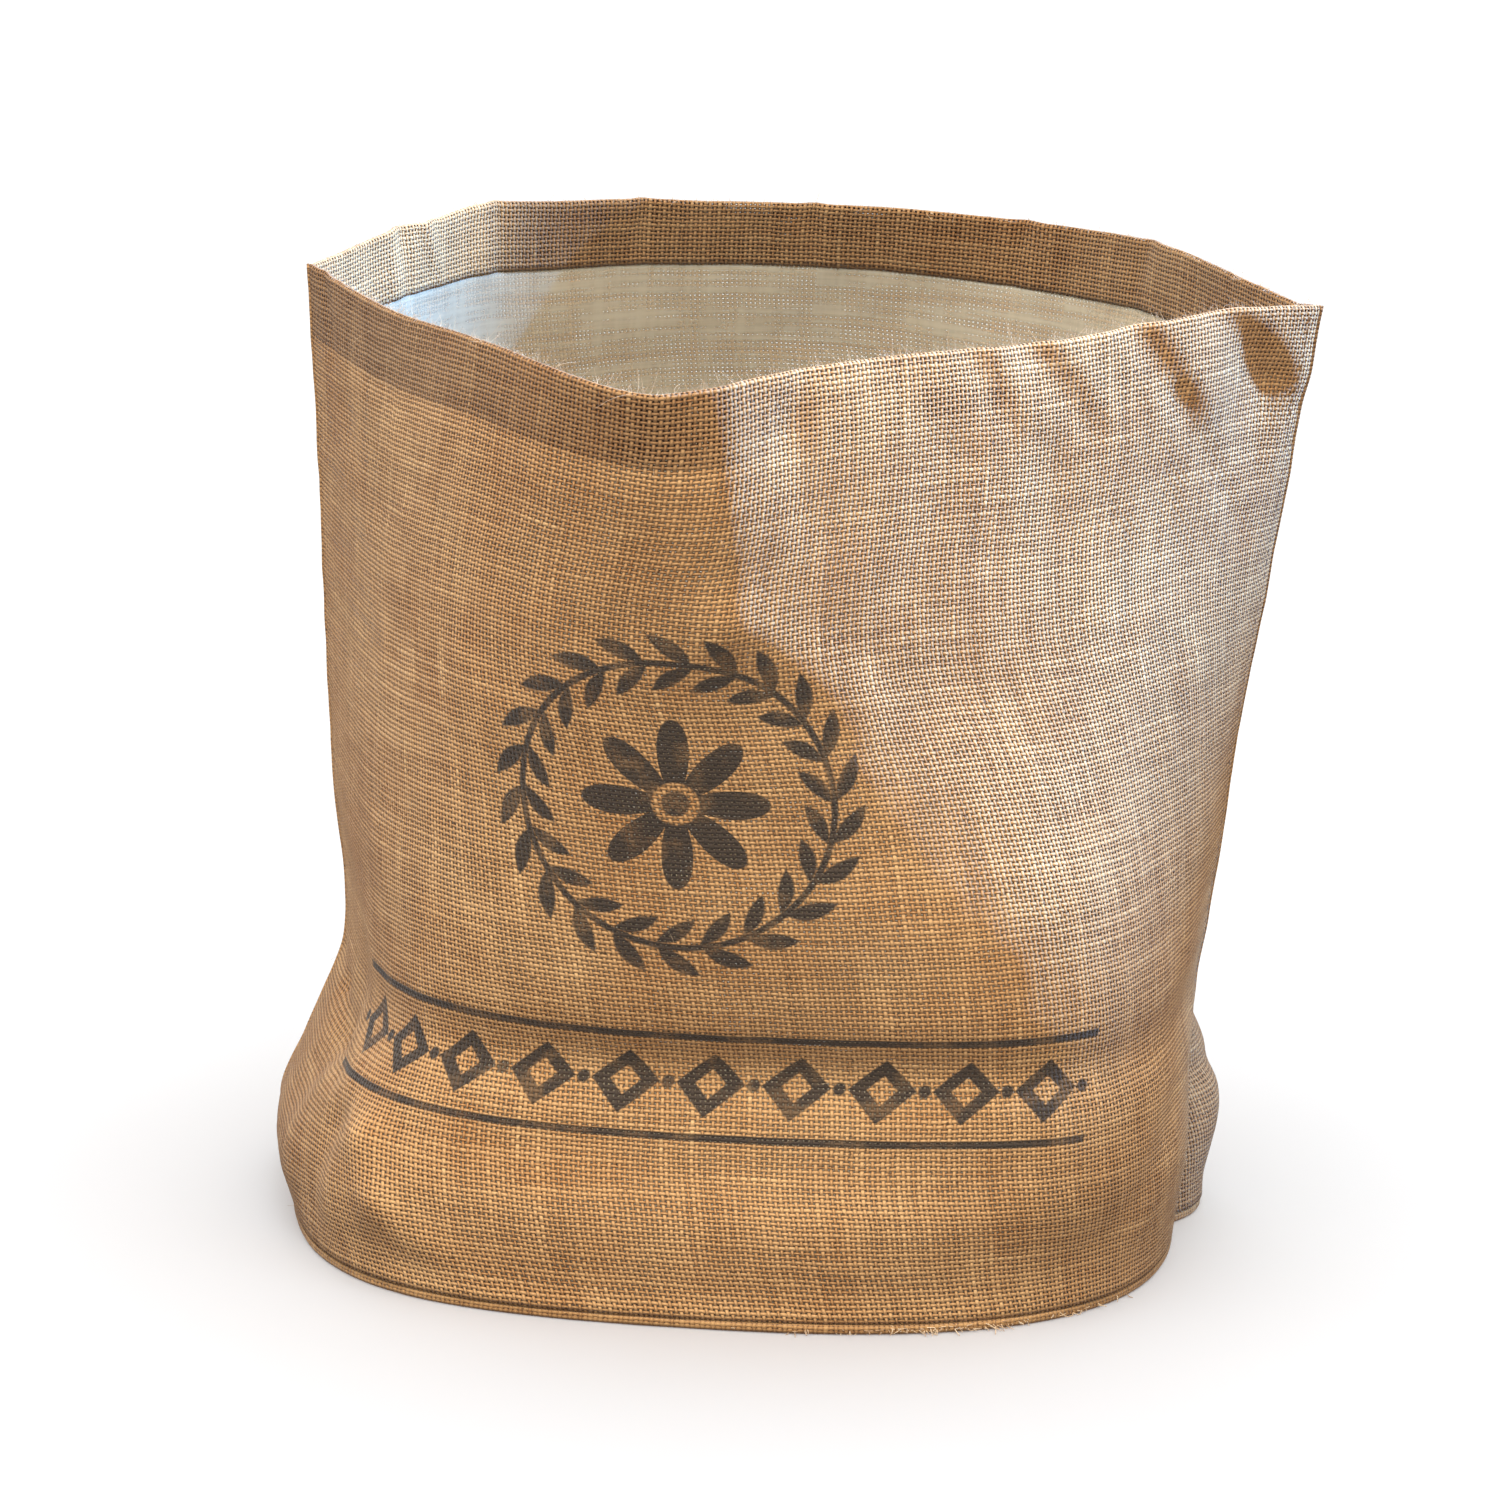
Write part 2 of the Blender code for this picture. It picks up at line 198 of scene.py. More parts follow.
@dataclass(frozen=True)
class WallForm:
    """The standing shape of the bag's wall, as in the solids but with finer swells."""

    panel_width: float = PANEL_WIDTH
    cloth_height: float = 398 * MM
    foot: float = 4.3 * MM
    settle_height: float = 22 * MM
    bulge_limits: tuple[float, float] = (0.12, 0.95)
    bulge_tries: int = 24
    curve_steps: int = 48
    row_step: float = 2 * MM
    unevenness: float = 0.7 * MM
    unevenness_span: float = 38 * MM
    unevenness_octaves: int = 3
    lift_from: float = 250 * MM
    crease_fade: float = 0.55

    def section_values(self, up: np.ndarray) -> dict[str, np.ndarray]:
        """Return the section table's columns at cloth heights.

        Args:
            up: rising cloth heights.

        Returns:
            One array for each column of the table.
        """
        table = np.array(SECTIONS, float)
        knots = table[:, 0] * MM
        values = table[:, 1:]
        spans = np.diff(knots)
        slopes = np.diff(values, axis=0) / spans[:, None]
        weight = (spans[1:] / (spans[1:] + spans[:-1]))[:, None]
        middle = slopes[:-1] * weight + slopes[1:] * (1 - weight)
        tangents = np.vstack([slopes[:1], middle, slopes[-1:]])
        index = np.clip(np.searchsorted(knots, up) - 1, 0, len(spans) - 1)
        span = spans[index][:, None]
        t = ((up - knots[index]) / spans[index])[:, None]
        blended = (
            (2 * t**3 - 3 * t**2 + 1) * values[index]
            + (t**3 - 2 * t**2 + t) * span * tangents[index]
            + (3 * t**2 - 2 * t**3) * values[index + 1]
            + (t**3 - t**2) * span * tangents[index + 1]
        )
        return dict(zip(SECTION_COLUMNS[1:], blended.T))

    def quarter_curve(
        self, start: np.ndarray, start_way: np.ndarray,
        end: np.ndarray, end_way: np.ndarray, bulge: np.ndarray,
    ) -> np.ndarray:
        """Return cubic curves from a seam to the middle of a panel.

        Args:
            start: seam point of each row.
            start_way: unit way in which the cloth leaves the seam.
            end: middle point of each row.
            end_way: unit way back along the cloth at the middle.
            bulge: handle length as a share of the chord.

        Returns:
            Points of shape (rows, steps, 2).
        """
        t = np.linspace(0, 1, self.curve_steps + 1)[None, :, None]
        reach = np.hypot(*(end - start).T)[:, None] * bulge[:, None]
        first = start + start_way * reach
        second = end + end_way * reach
        return (
            (1 - t) ** 3 * start[:, None]
            + 3 * (1 - t) ** 2 * t * first[:, None]
            + 3 * (1 - t) * t**2 * second[:, None]
            + t**3 * end[:, None]
        )

    def panel_curves(
        self, ends: tuple[np.ndarray, np.ndarray, np.ndarray],
        angles: tuple[np.ndarray, np.ndarray], fuller_left: np.ndarray, side: int,
    ) -> np.ndarray:
        """Return plan curves of a panel whose bulge uses up its cut width.

        Args:
            ends: left seam, middle and right seam points of each row.
            angles: corner angles at the left and right seams.
            fuller_left: how much fuller the left part is.
            side: -1 for the front, +1 for the back.

        Returns:
            Points of shape (rows, steps, 2).
        """
        left, middle, right = ends
        left_angle, right_angle = angles
        ones = np.ones(len(left))
        left_way = np.stack([np.sin(left_angle), side * np.cos(left_angle)], 1)
        right_way = np.stack([-np.sin(right_angle), side * np.cos(right_angle)], 1)
        to_left = np.stack([-ones, 0 * ones], 1)

        def curves(bulge: np.ndarray) -> np.ndarray:
            """Return the plan curves for one try of the bulge.

            Args:
                bulge: handle length of each row, as a share of the chord.

            Returns:
                Points of shape (rows, steps, 2).
            """
            one = self.quarter_curve(left, left_way, middle, to_left, bulge + fuller_left)
            two = self.quarter_curve(right, right_way, middle, -to_left, bulge - fuller_left)
            return np.concatenate([one, two[:, -2::-1]], axis=1)

        low = self.bulge_limits[0] * ones
        high = self.bulge_limits[1] * ones
        for _ in range(self.bulge_tries):
            bulge = (low + high) / 2
            steps = np.diff(curves(bulge), axis=1)
            too_long = np.hypot(steps[..., 0], steps[..., 1]).sum(axis=1) > self.panel_width
            high = np.where(too_long, bulge, high)
            low = np.where(too_long, low, bulge)
        return curves((low + high) / 2)

    @staticmethod
    def even_points(curves: np.ndarray, count: int) -> np.ndarray:
        """Return points spaced evenly along each polyline.

        Args:
            curves: one polyline for each row.
            count: how many points each row gets.

        Returns:
            Points of shape (rows, count, 2).
        """
        rows = []
        for curve in curves:
            steps = np.hypot(*np.diff(curve, axis=0).T)
            travel = np.concatenate([[0], np.cumsum(steps)])
            stops = np.linspace(0, travel[-1], count)
            rows.append(np.stack([np.interp(stops, travel, axis) for axis in curve.T], 1))
        return np.array(rows)

    @staticmethod
    def loop_normals(points: np.ndarray) -> np.ndarray:
        """Return outward normals of a closed ring of cloth columns, mitred.

        Args:
            points: the cloth surface, shape (rows, columns, 3).

        Returns:
            Normals of the same shape, longer where the cloth turns a corner.
        """
        ahead = np.roll(points, -1, axis=1) - points
        behind = points - np.roll(points, 1, axis=1)
        ahead /= np.linalg.norm(ahead, axis=2, keepdims=True)
        behind /= np.linalg.norm(behind, axis=2, keepdims=True)
        upward = np.gradient(points, axis=0)
        normals = np.cross(ahead + behind, upward)
        normals /= np.linalg.norm(normals, axis=2, keepdims=True)
        mitre = np.sqrt((1 + (ahead * behind).sum(axis=2, keepdims=True)) / 2)
        return normals / mitre

    def swell_heights(self, around: np.ndarray, up: np.ndarray) -> np.ndarray:
        """Return how far the swells and creases stand out of the plain wall.

        Args:
            around: cloth position of each column, shape (1, columns).
            up: cloth height of each row, shape (rows, 1).

        Returns:
            Heights of shape (rows, columns).
        """
        total = np.zeros(np.broadcast(around, up).shape)
        loop = 2 * self.panel_width
        for row in SWELLS:
            swell = dict(zip(SWELL_COLUMNS, row))
            across = (around - swell["around"] * MM + loop / 2) % loop - loop / 2
            climb = up - swell["up"] * MM
            spread = (across / (swell["reach_around"] * MM)) ** 2
            spread = spread + (climb / (swell["reach_up"] * MM)) ** 2
            total += swell["rise"] * MM * np.exp(-spread)
        for row in CREASES:
            total += self.crease_heights(dict(zip(CREASE_COLUMNS, row)), around, up)
        settle = np.clip(up / self.settle_height, 0, 1)
        return total * settle**2 * (3 - 2 * settle)

    def crease_heights(
        self, crease: dict[str, float], around: np.ndarray, up: np.ndarray
    ) -> np.ndarray:
        """Return one crease's height, which fades towards its far end.

        Args:
            crease: one row of the crease table by column name.
            around: cloth position of each column, shape (1, columns).
            up: cloth height of each row, shape (rows, 1).

        Returns:
            Heights of shape (rows, columns).
        """
        start = np.array([crease["around"], crease["up"]]) * MM
        run = np.array([crease["to_around"], crease["to_up"]]) * MM - start
        across = around - start[0]
        climb = up - start[1]
        share = np.clip((across * run[0] + climb * run[1]) / (run @ run), 0, 1)
        distance = np.hypot(across - share * run[0], climb - share * run[1])
        fade = 1 - self.crease_fade * share
        reach = crease["reach"] * MM
        return crease["rise"] * MM * fade * np.exp(-((distance / reach) ** 2))

    def ripple(self, points: np.ndarray) -> np.ndarray:
        """Return the small unevenness that all woven jute has.

        Args:
            points: the cloth surface, shape (rows, columns, 3).

        Returns:
            Heights of shape (rows, columns).
        """
        flat = points.reshape(-1, 3) / self.unevenness_span
        octaves = self.unevenness_octaves
        values = [noise.fractal(Vector(place), 1.0, 2.0, octaves) for place in flat]
        return np.array(values).reshape(points.shape[:2]) * self.unevenness

    def build(self, columns_per_panel: int) -> WallGrid:
        """Return the wall on a grid.

        Args:
            columns_per_panel: how many columns of cloth each panel gets.

        Returns:
            The outer cloth surface, once round the bag.
        """
        up = np.arange(0, self.cloth_height + self.row_step / 2, self.row_step)
        values = self.section_values(up)

        def place(name: str) -> np.ndarray:
            """Return the plan place of a named point at each height.

            Args:
                name: left, right, front or back.

            Returns:
                Points of shape (rows, 2).
            """
            return np.stack([values[name + "_x"], values[name + "_y"]], 1) * MM

        left, right = place("left"), place("right")
        left_angle = np.radians(values["left_corner"])
        front = self.panel_curves(
            (left, place("front"), right),
            (left_angle, np.radians(values["right_corner"])), values["fuller_left"], -1,
        )
        back = self.panel_curves(
            (left, place("back"), right),
            (left_angle, np.radians(values["behind_right"])), np.zeros(len(up)), 1,
        )
        front_points = self.even_points(front, columns_per_panel + 1)
        back_points = self.even_points(back, columns_per_panel + 1)[:, ::-1]
        plan = np.concatenate([front_points[:, :-1], back_points[:, :-1]], axis=1)
        sideways = np.linalg.norm(np.diff(plan, axis=0), axis=2)
        climb = np.sqrt(np.maximum(np.diff(up)[:, None] ** 2 - sideways**2, 0))
        start = np.full((1, plan.shape[1]), self.foot)
        height = np.concatenate([start, start + np.cumsum(climb, axis=0)])
        around = np.arange(2 * columns_per_panel) * self.panel_width / columns_per_panel
        knots, lift = np.array(RIM_LIFT, float).T * MM
        share = np.clip((up - self.lift_from) / (self.cloth_height - self.lift_from), 0, 1)
        height = height + np.outer(share**2, np.interp(around, knots, lift))
        points = np.dstack([plan, height])
        swell = self.swell_heights(around[None, :], up[:, None])
        settle = np.clip(up / self.settle_height, 0, 1)[:, None]
        swell = swell + self.ripple(points) * settle
        points = points + self.loop_normals(points) * swell[..., None]
        normals = self.loop_normals(points)
        normals[0, :, 2] = 0
        return WallGrid(points, normals, up, columns_per_panel)


def thread_shift(up: np.ndarray) -> np.ndarray:
    """Return how far the upright threads have leant along the panel.

    Args:
        up: cloth heights.

    Returns:
        The shift at each height.
    """
    knots, slopes = np.array(THREAD_LEAN, float).T
    fine = np.linspace(0, knots[-1], LEAN_STEPS)
    slope = np.interp(fine, knots, slopes)
    shift = np.concatenate([[0], np.cumsum((slope[1:] + slope[:-1]) / 2 * np.diff(fine))])
    return np.interp(up, fine * MM, shift * MM)


# ---------------------------------------------------------------- mesh making


class UvMap(Enum):
    """UV maps, both in metres of cloth."""

    WEAVE = "weave"
    PLACE = "place"


@dataclass
class SheetMesh:
    """A grid of points made into a mesh with its cloth coordinates as UVs."""

    name: str
    points: np.ndarray
    maps: dict[UvMap, np.ndarray]
    merge: float = 1e-6
    capped: bool = False

    def build(self, material: bpy.types.Material) -> bpy.types.Object:
        """Return the linked object.

        Args:
            material: the sheet's finish.

        Returns:
            A mesh object at the origin.
        """
        rows, columns = self.points.shape[:2]
        mesh = bmesh.new()
        bmesh.ops.create_grid(mesh, x_segments=columns - 1, y_segments=rows - 1, size=0.5)
        mesh.verts.ensure_lookup_table()
        flat = self.points.reshape(-1, 3)
        for index, vertex in enumerate(mesh.verts):
            vertex.co = flat[index]
        mesh.verts.index_update()
        for chosen, values in self.maps.items():
            layer = mesh.loops.layers.uv.new(chosen.value)
            pairs = values.reshape(-1, 2)
            for face in mesh.faces:
                for loop in face.loops:
                    loop[layer].uv = pairs[loop.vert.index]
        bmesh.ops.remove_doubles(mesh, verts=mesh.verts[:], dist=self.merge)
        if self.capped:
            bmesh.ops.holes_fill(mesh, edges=[edge for edge in mesh.edges if edge.is_boundary])
            bmesh.ops.recalc_face_normals(mesh, faces=mesh.faces[:])
        return finish_mesh(mesh, self.name, material)


def finish_mesh(
    mesh: bmesh.types.BMesh, name: str, material: bpy.types.Material
) -> bpy.types.Object:
    """Turn a bmesh into a smooth, linked object.

    Args:
        mesh: the geometry, freed here.
        name: the piece's name.
        material: the piece's finish.

    Returns:
        A mesh object at the origin.
    """
    data = bpy.data.meshes.new(name)
    mesh.to_mesh(data)
    mesh.free()
    data.materials.append(material)
    data.shade_smooth()
    piece = bpy.data.objects.new(name, data)
    bpy.context.collection.objects.link(piece)
    return piece


def thicken(piece: bpy.types.Object, thickness: float) -> None:
    """Give a sheet its thickness on the inner side.

    Args:
        piece: the sheet, one face thick.
        thickness: of the finished sheet.
    """
    solidify = piece.modifiers.new("thickness", "SOLIDIFY")
    solidify.thickness = thickness
    solidify.offset = -1
    solidify.use_even_offset = False


def strand_piece(
    name: str, strands: list[np.ndarray], radius: float, tip: float,
    material: bpy.types.Material,
) -> bpy.types.Object:
    """Return one piece of many thin strands.

    Args:
        name: the piece's name.
        strands: the points of each strand.
        radius: half the thickness of a strand at its root.
        tip: thickness at the free end as a share of the root's.
        material: the strands' finish.

    Returns:
        A mesh object at the origin.
    """
    curve = bpy.data.curves.new(name, "CURVE")
    curve.dimensions = "3D"
    curve.bevel_depth = radius
    curve.bevel_resolution = 0
    curve.use_fill_caps = True
    for strand in strands:
        spline = curve.splines.new("POLY")
        spline.points.add(len(strand) - 1)
        for index, place in enumerate(strand):
            spline.points[index].co = (*place, 1.0)
            spline.points[index].radius = 1 - (1 - tip) * index / (len(strand) - 1)
    bundle = bpy.data.objects.new(name + "_line", curve)
    bpy.context.collection.objects.link(bundle)
    bpy.context.view_layer.update()
    data = bpy.data.meshes.new_from_object(bundle.evaluated_get(
        bpy.context.evaluated_depsgraph_get()))
    bpy.data.objects.remove(bundle, do_unlink=True)
    mesh = bmesh.new()
    mesh.from_mesh(data)
    bpy.data.meshes.remove(data)
    bmesh.ops.recalc_face_normals(mesh, faces=mesh.faces[:])
    for layer in list(mesh.loops.layers.uv):
        mesh.loops.layers.uv.remove(layer)
    return finish_mesh(mesh, name, material)


# ------------------------------------------------------------ node expressions


@dataclass(frozen=True)
class Value:
    """A socket of a node tree that takes part in arithmetic."""

    tree: bpy.types.NodeTree
    socket: bpy.types.NodeSocket

    def math(self, operation: str, *others: "Value | float", clamp: bool = False) -> "Value":
        """Return the result of one Math node with this value first.

        Args:
            operation: the node's operation.
            others: the further operands.
            clamp: whether the result is held between nought and one.

        Returns:
            The result.
        """
        node = self.tree.nodes.new("ShaderNodeMath")
        node.operation = operation
        node.use_clamp = clamp
        for slot, value in zip(node.inputs, (self, *others)):
            plug(self.tree, slot, value)
        return Value(self.tree, node.outputs[0])

    def __add__(self, other: "Value | float") -> "Value":
        """Return the sum."""
        return self.math("ADD", other)

    def __sub__(self, other: "Value | float") -> "Value":
        """Return the difference."""
        return self.math("SUBTRACT", other)

    def __mul__(self, other: "Value | float") -> "Value":
        """Return the product."""
        return self.math("MULTIPLY", other)

    def __truediv__(self, other: "Value | float") -> "Value":
        """Return the quotient."""
        return self.math("DIVIDE", other)

    def __rsub__(self, other: float) -> "Value":
        """Return a number less this value."""
        return self.math("MULTIPLY", -1.0).math("ADD", other)

    def maximum(self, other: "Value | float") -> "Value":
        """Return the larger value."""
        return self.math("MAXIMUM", other)

    def absolute(self) -> "Value":
        """Return the value without its sign."""
        return self.math("ABSOLUTE")

    def above(self, limit: "Value | float") -> "Value":
        """Return one where the value is above a limit, and nought elsewhere."""
        return self.math("GREATER_THAN", limit)

    def clamped(self) -> "Value":
        """Return the value held between nought and one."""
        return self.math("ADD", 0.0, clamp=True)

    def ramp(self, low: float, high: float) -> "Value":
        """Return a smooth rise over a span of this value.

        Args:
            low: where the result is nought.
            high: where the result is one.

        Returns:
            The result.
        """
        node = self.tree.nodes.new("ShaderNodeMapRange")
        node.interpolation_type = "SMOOTHSTEP"
        plug(self.tree, node.inputs["Value"], self)
        node.inputs["From Min"].default_value = low
        node.inputs["From Max"].default_value = high
        return Value(self.tree, node.outputs["Result"])


def plug(
    tree: bpy.types.NodeTree, slot: bpy.types.NodeSocket,
    value: "Value | bpy.types.NodeSocket | float | tuple",
) -> None:
    """Feed an input socket.

    Args:
        tree: the node tree that holds the socket.
        slot: the input socket.
        value: a value, a socket or a constant.
    """
    if isinstance(value, Value):
        tree.links.new(value.socket, slot)
    elif isinstance(value, bpy.types.NodeSocket):
        tree.links.new(value, slot)
    else:
        slot.default_value = value


@dataclass
class Board:
    """A node tree with short ways to add the nodes that the finishes need."""

    tree: bpy.types.NodeTree

    def vector(self, x: Value | float, y: Value | float, z: Value | float) -> bpy.types.NodeSocket:
        """Return a vector made of three values.

        Args:
            x: the first value.
            y: the second value.
            z: the third value.

        Returns:
            The vector's socket.
        """
        node = self.tree.nodes.new("ShaderNodeCombineXYZ")
        for slot, value in zip(node.inputs, (x, y, z)):
            plug(self.tree, slot, value)
        return node.outputs[0]

    def split(self, vector: bpy.types.NodeSocket) -> tuple[Value, Value, Value]:
        """Return the three values of a vector.

        Args:
            vector: the vector's socket.

        Returns:
            Its x, y and z.
        """
        node = self.tree.nodes.new("ShaderNodeSeparateXYZ")
        plug(self.tree, node.inputs[0], vector)
        return tuple(Value(self.tree, output) for output in node.outputs)

    def noise(self, vector: bpy.types.NodeSocket, scale: float, detail: float = 2.0) -> Value:
        """Return a noise value around one half.

        Args:
            vector: the coordinates.
            scale: how many features lie in one unit.
            detail: how many finer layers are added.

        Returns:
            The noise.
        """
        node = self.tree.nodes.new("ShaderNodeTexNoise")
        plug(self.tree, node.inputs["Vector"], vector)
        node.inputs["Scale"].default_value = scale
        node.inputs["Detail"].default_value = detail
        return Value(self.tree, node.outputs["Fac"])

    def blend(
        self, share: Value | float, first: bpy.types.NodeSocket | tuple,
        second: bpy.types.NodeSocket | tuple,
    ) -> bpy.types.NodeSocket:
        """Return a colour between two others.

        Args:
            share: nought for the first colour, one for the second.
            first: a colour or its socket.
            second: a colour or its socket.

        Returns:
            The mixed colour's socket.
        """
        node = self.tree.nodes.new("ShaderNodeMix")
        node.data_type = "RGBA"
        node.clamp_factor = True
        share_slot, first_slot, second_slot, result = 0, 6, 7, 2
        plug(self.tree, node.inputs[share_slot], share)
        plug(self.tree, node.inputs[first_slot], first)
        plug(self.tree, node.inputs[second_slot], second)
        return node.outputs[result]

    def group(self, group: bpy.types.NodeTree, **inputs: object) -> bpy.types.Node:
        """Return a placed node group with its inputs set.

        Args:
            group: the group's node tree.
            inputs: what each input is fed with, by name.

        Returns:
            The group's node.
        """
        node = self.tree.nodes.new("ShaderNodeGroup")
        node.node_tree = group
        for name, value in inputs.items():
            plug(self.tree, node.inputs[name.replace("_", " ")], value)
        return node

    def uv(self, chosen: UvMap) -> bpy.types.NodeSocket:
        """Return the coordinates of one of the piece's UV maps.

        Args:
            chosen: the map.

        Returns:
            The coordinates' socket.
        """
        node = self.tree.nodes.new("ShaderNodeUVMap")
        node.uv_map = chosen.value
        return node.outputs["UV"]

    def object_place(self) -> bpy.types.NodeSocket:
        """Return the piece's object coordinates."""
        return self.tree.nodes.new("ShaderNodeTexCoord").outputs["Object"]


class Effect:
    """A shader node group with named inputs and outputs, built once."""

    def __init__(self, name: str, inputs: dict[str, tuple], outputs: dict[str, str]) -> None:
        """Make the group's sockets.

        Args:
            name: the group's name.
            inputs: socket type and starting value by input name.
            outputs: socket type by output name.
        """
        self.tree = bpy.data.node_groups.new(name, "ShaderNodeTree")
        self.board = Board(self.tree)
        for label, (kind, start) in inputs.items():
            socket = self.tree.interface.new_socket(label, in_out="INPUT", socket_type=kind)
            if start is not None:
                socket.default_value = start
        for label, kind in outputs.items():
            self.tree.interface.new_socket(label, in_out="OUTPUT", socket_type=kind)
        self.entry = self.tree.nodes.new("NodeGroupInput")
        self.exit = self.tree.nodes.new("NodeGroupOutput")

    def given(self, label: str) -> bpy.types.NodeSocket:
        """Return an input socket as seen inside the group."""
        return self.entry.outputs[label]

    def value(self, label: str) -> Value:
        """Return a number input as a value."""
        return Value(self.tree, self.given(label))

    def put(self, label: str, result: "Value | bpy.types.NodeSocket") -> None:
        """Send a result to an output."""
        plug(self.tree, self.exit.inputs[label], result)


# Distance from thread to thread, and half a thread's breadth as a share of it.
PITCH = 2.03 * MM
THREAD = 0.345

NUMBER = "NodeSocketFloat"
COLOUR = "NodeSocketColor"
VECTOR = "NodeSocketVector"


def weave_effect() -> bpy.types.NodeTree:
    """Return the plain weave: thread height, thickness and crossings.

    Threads wander a little, and each one is thicker and thinner along its length.

    Returns:
        The node group.
    """
    # Thread counts stay above nought, so that odd and even threads can be told apart.
    keep_positive = 200.0
    wander_scale = 55.0
    # Each thread's thickness differs from its neighbour's and changes slowly along it.
    life_across, life_along, life_share = 3.73, 0.045, 1.25
    # Fibres are fine across a thread and long along it.
    hair_across, hair_along, hair_share = 2600.0, 420.0, 0.1
    # A thread's height where it lies on top, above the height that it keeps below.
    lift, rest = 0.36, 0.64
    cover_gain, tone_gain = 9.0, 2.4
    slub_from, slub_to = 0.17, 0.24
    effect = Effect(
        "plain_weave",
        {"Cloth": (VECTOR, None), "Pitch": (NUMBER, PITCH), "Thread": (NUMBER, THREAD),
         "Wander": (NUMBER, 0.7)},
        {"Height": NUMBER, "Cover": NUMBER, "Tone": NUMBER, "Slub": NUMBER, "Fibre": NUMBER},
    )
    board = effect.board
    cloth = effect.given("Cloth")
    along, upward, _ = board.split(cloth)
    wander = effect.value("Wander")
    sway = board.vector(along, upward, 3.1)
    drift = board.vector(along, upward, 7.7)
    stray_x = (board.noise(sway, wander_scale) - 0.5) * wander
    stray_y = (board.noise(drift, wander_scale) - 0.5) * wander
    x = along / effect.value("Pitch") + stray_x + keep_positive
    y = upward / effect.value("Pitch") + stray_y + keep_positive
    column, row = x.math("FLOOR"), y.math("FLOOR")
    across_warp = (x - column - 0.5).absolute()
    across_weft = (y - row - 0.5).absolute()
    warp_run = board.vector(column * life_across, y * life_along, 1.5)
    weft_run = board.vector(x * life_along, row * life_across, 8.5)
    warp_life = board.noise(warp_run, 1.0, 3.0) - 0.5
    weft_life = board.noise(weft_run, 1.0, 3.0) - 0.5
    warp_half = effect.value("Thread") * (warp_life * life_share + 1.0)
    weft_half = effect.value("Thread") * (weft_life * life_share + 1.0)
    warp_round = (across_warp / warp_half).math("POWER", 2.0) * -1.0 + 1.0
    weft_round = (across_weft / weft_half).math("POWER", 2.0) * -1.0 + 1.0
    warp_bulk = warp_round.maximum(0.0).math("SQRT")
    weft_bulk = weft_round.maximum(0.0).math("SQRT")
    odd_column = 1.0 - column.math("MODULO", 2.0) * 2.0
    odd_row = 1.0 - row.math("MODULO", 2.0) * 2.0
    warp_lift = odd_column * ((y - 0.5) * math.pi).math("COSINE")
    weft_lift = odd_row * ((x - 0.5) * math.pi).math("COSINE") * -1.0
    warp_height = warp_bulk * (warp_lift * lift + rest)
    weft_height = weft_bulk * (weft_lift * lift + rest)
    height = warp_height.maximum(weft_height)
    warp_on_top = warp_height.above(weft_height)
    tone = warp_life * warp_on_top + weft_life * (1.0 - warp_on_top)
    warp_fibres = board.vector(along * hair_across, upward * hair_along, 2.0)
    weft_fibres = board.vector(along * hair_along, upward * hair_across, 5.0)
    warp_hair = board.noise(warp_fibres, 1.0, 2.0)
    weft_hair = board.noise(weft_fibres, 1.0, 2.0)
    hair = warp_hair * warp_on_top + weft_hair * (1.0 - warp_on_top)
    effect.put("Height", height * (1 - hair_share) + hair * hair_share)
    effect.put("Cover", (height * cover_gain).clamped())
    effect.put("Tone", (tone * tone_gain + 0.5).clamped())
    effect.put("Slub", tone.ramp(slub_from, slub_to))
    effect.put("Fibre", hair)
    return effect.tree


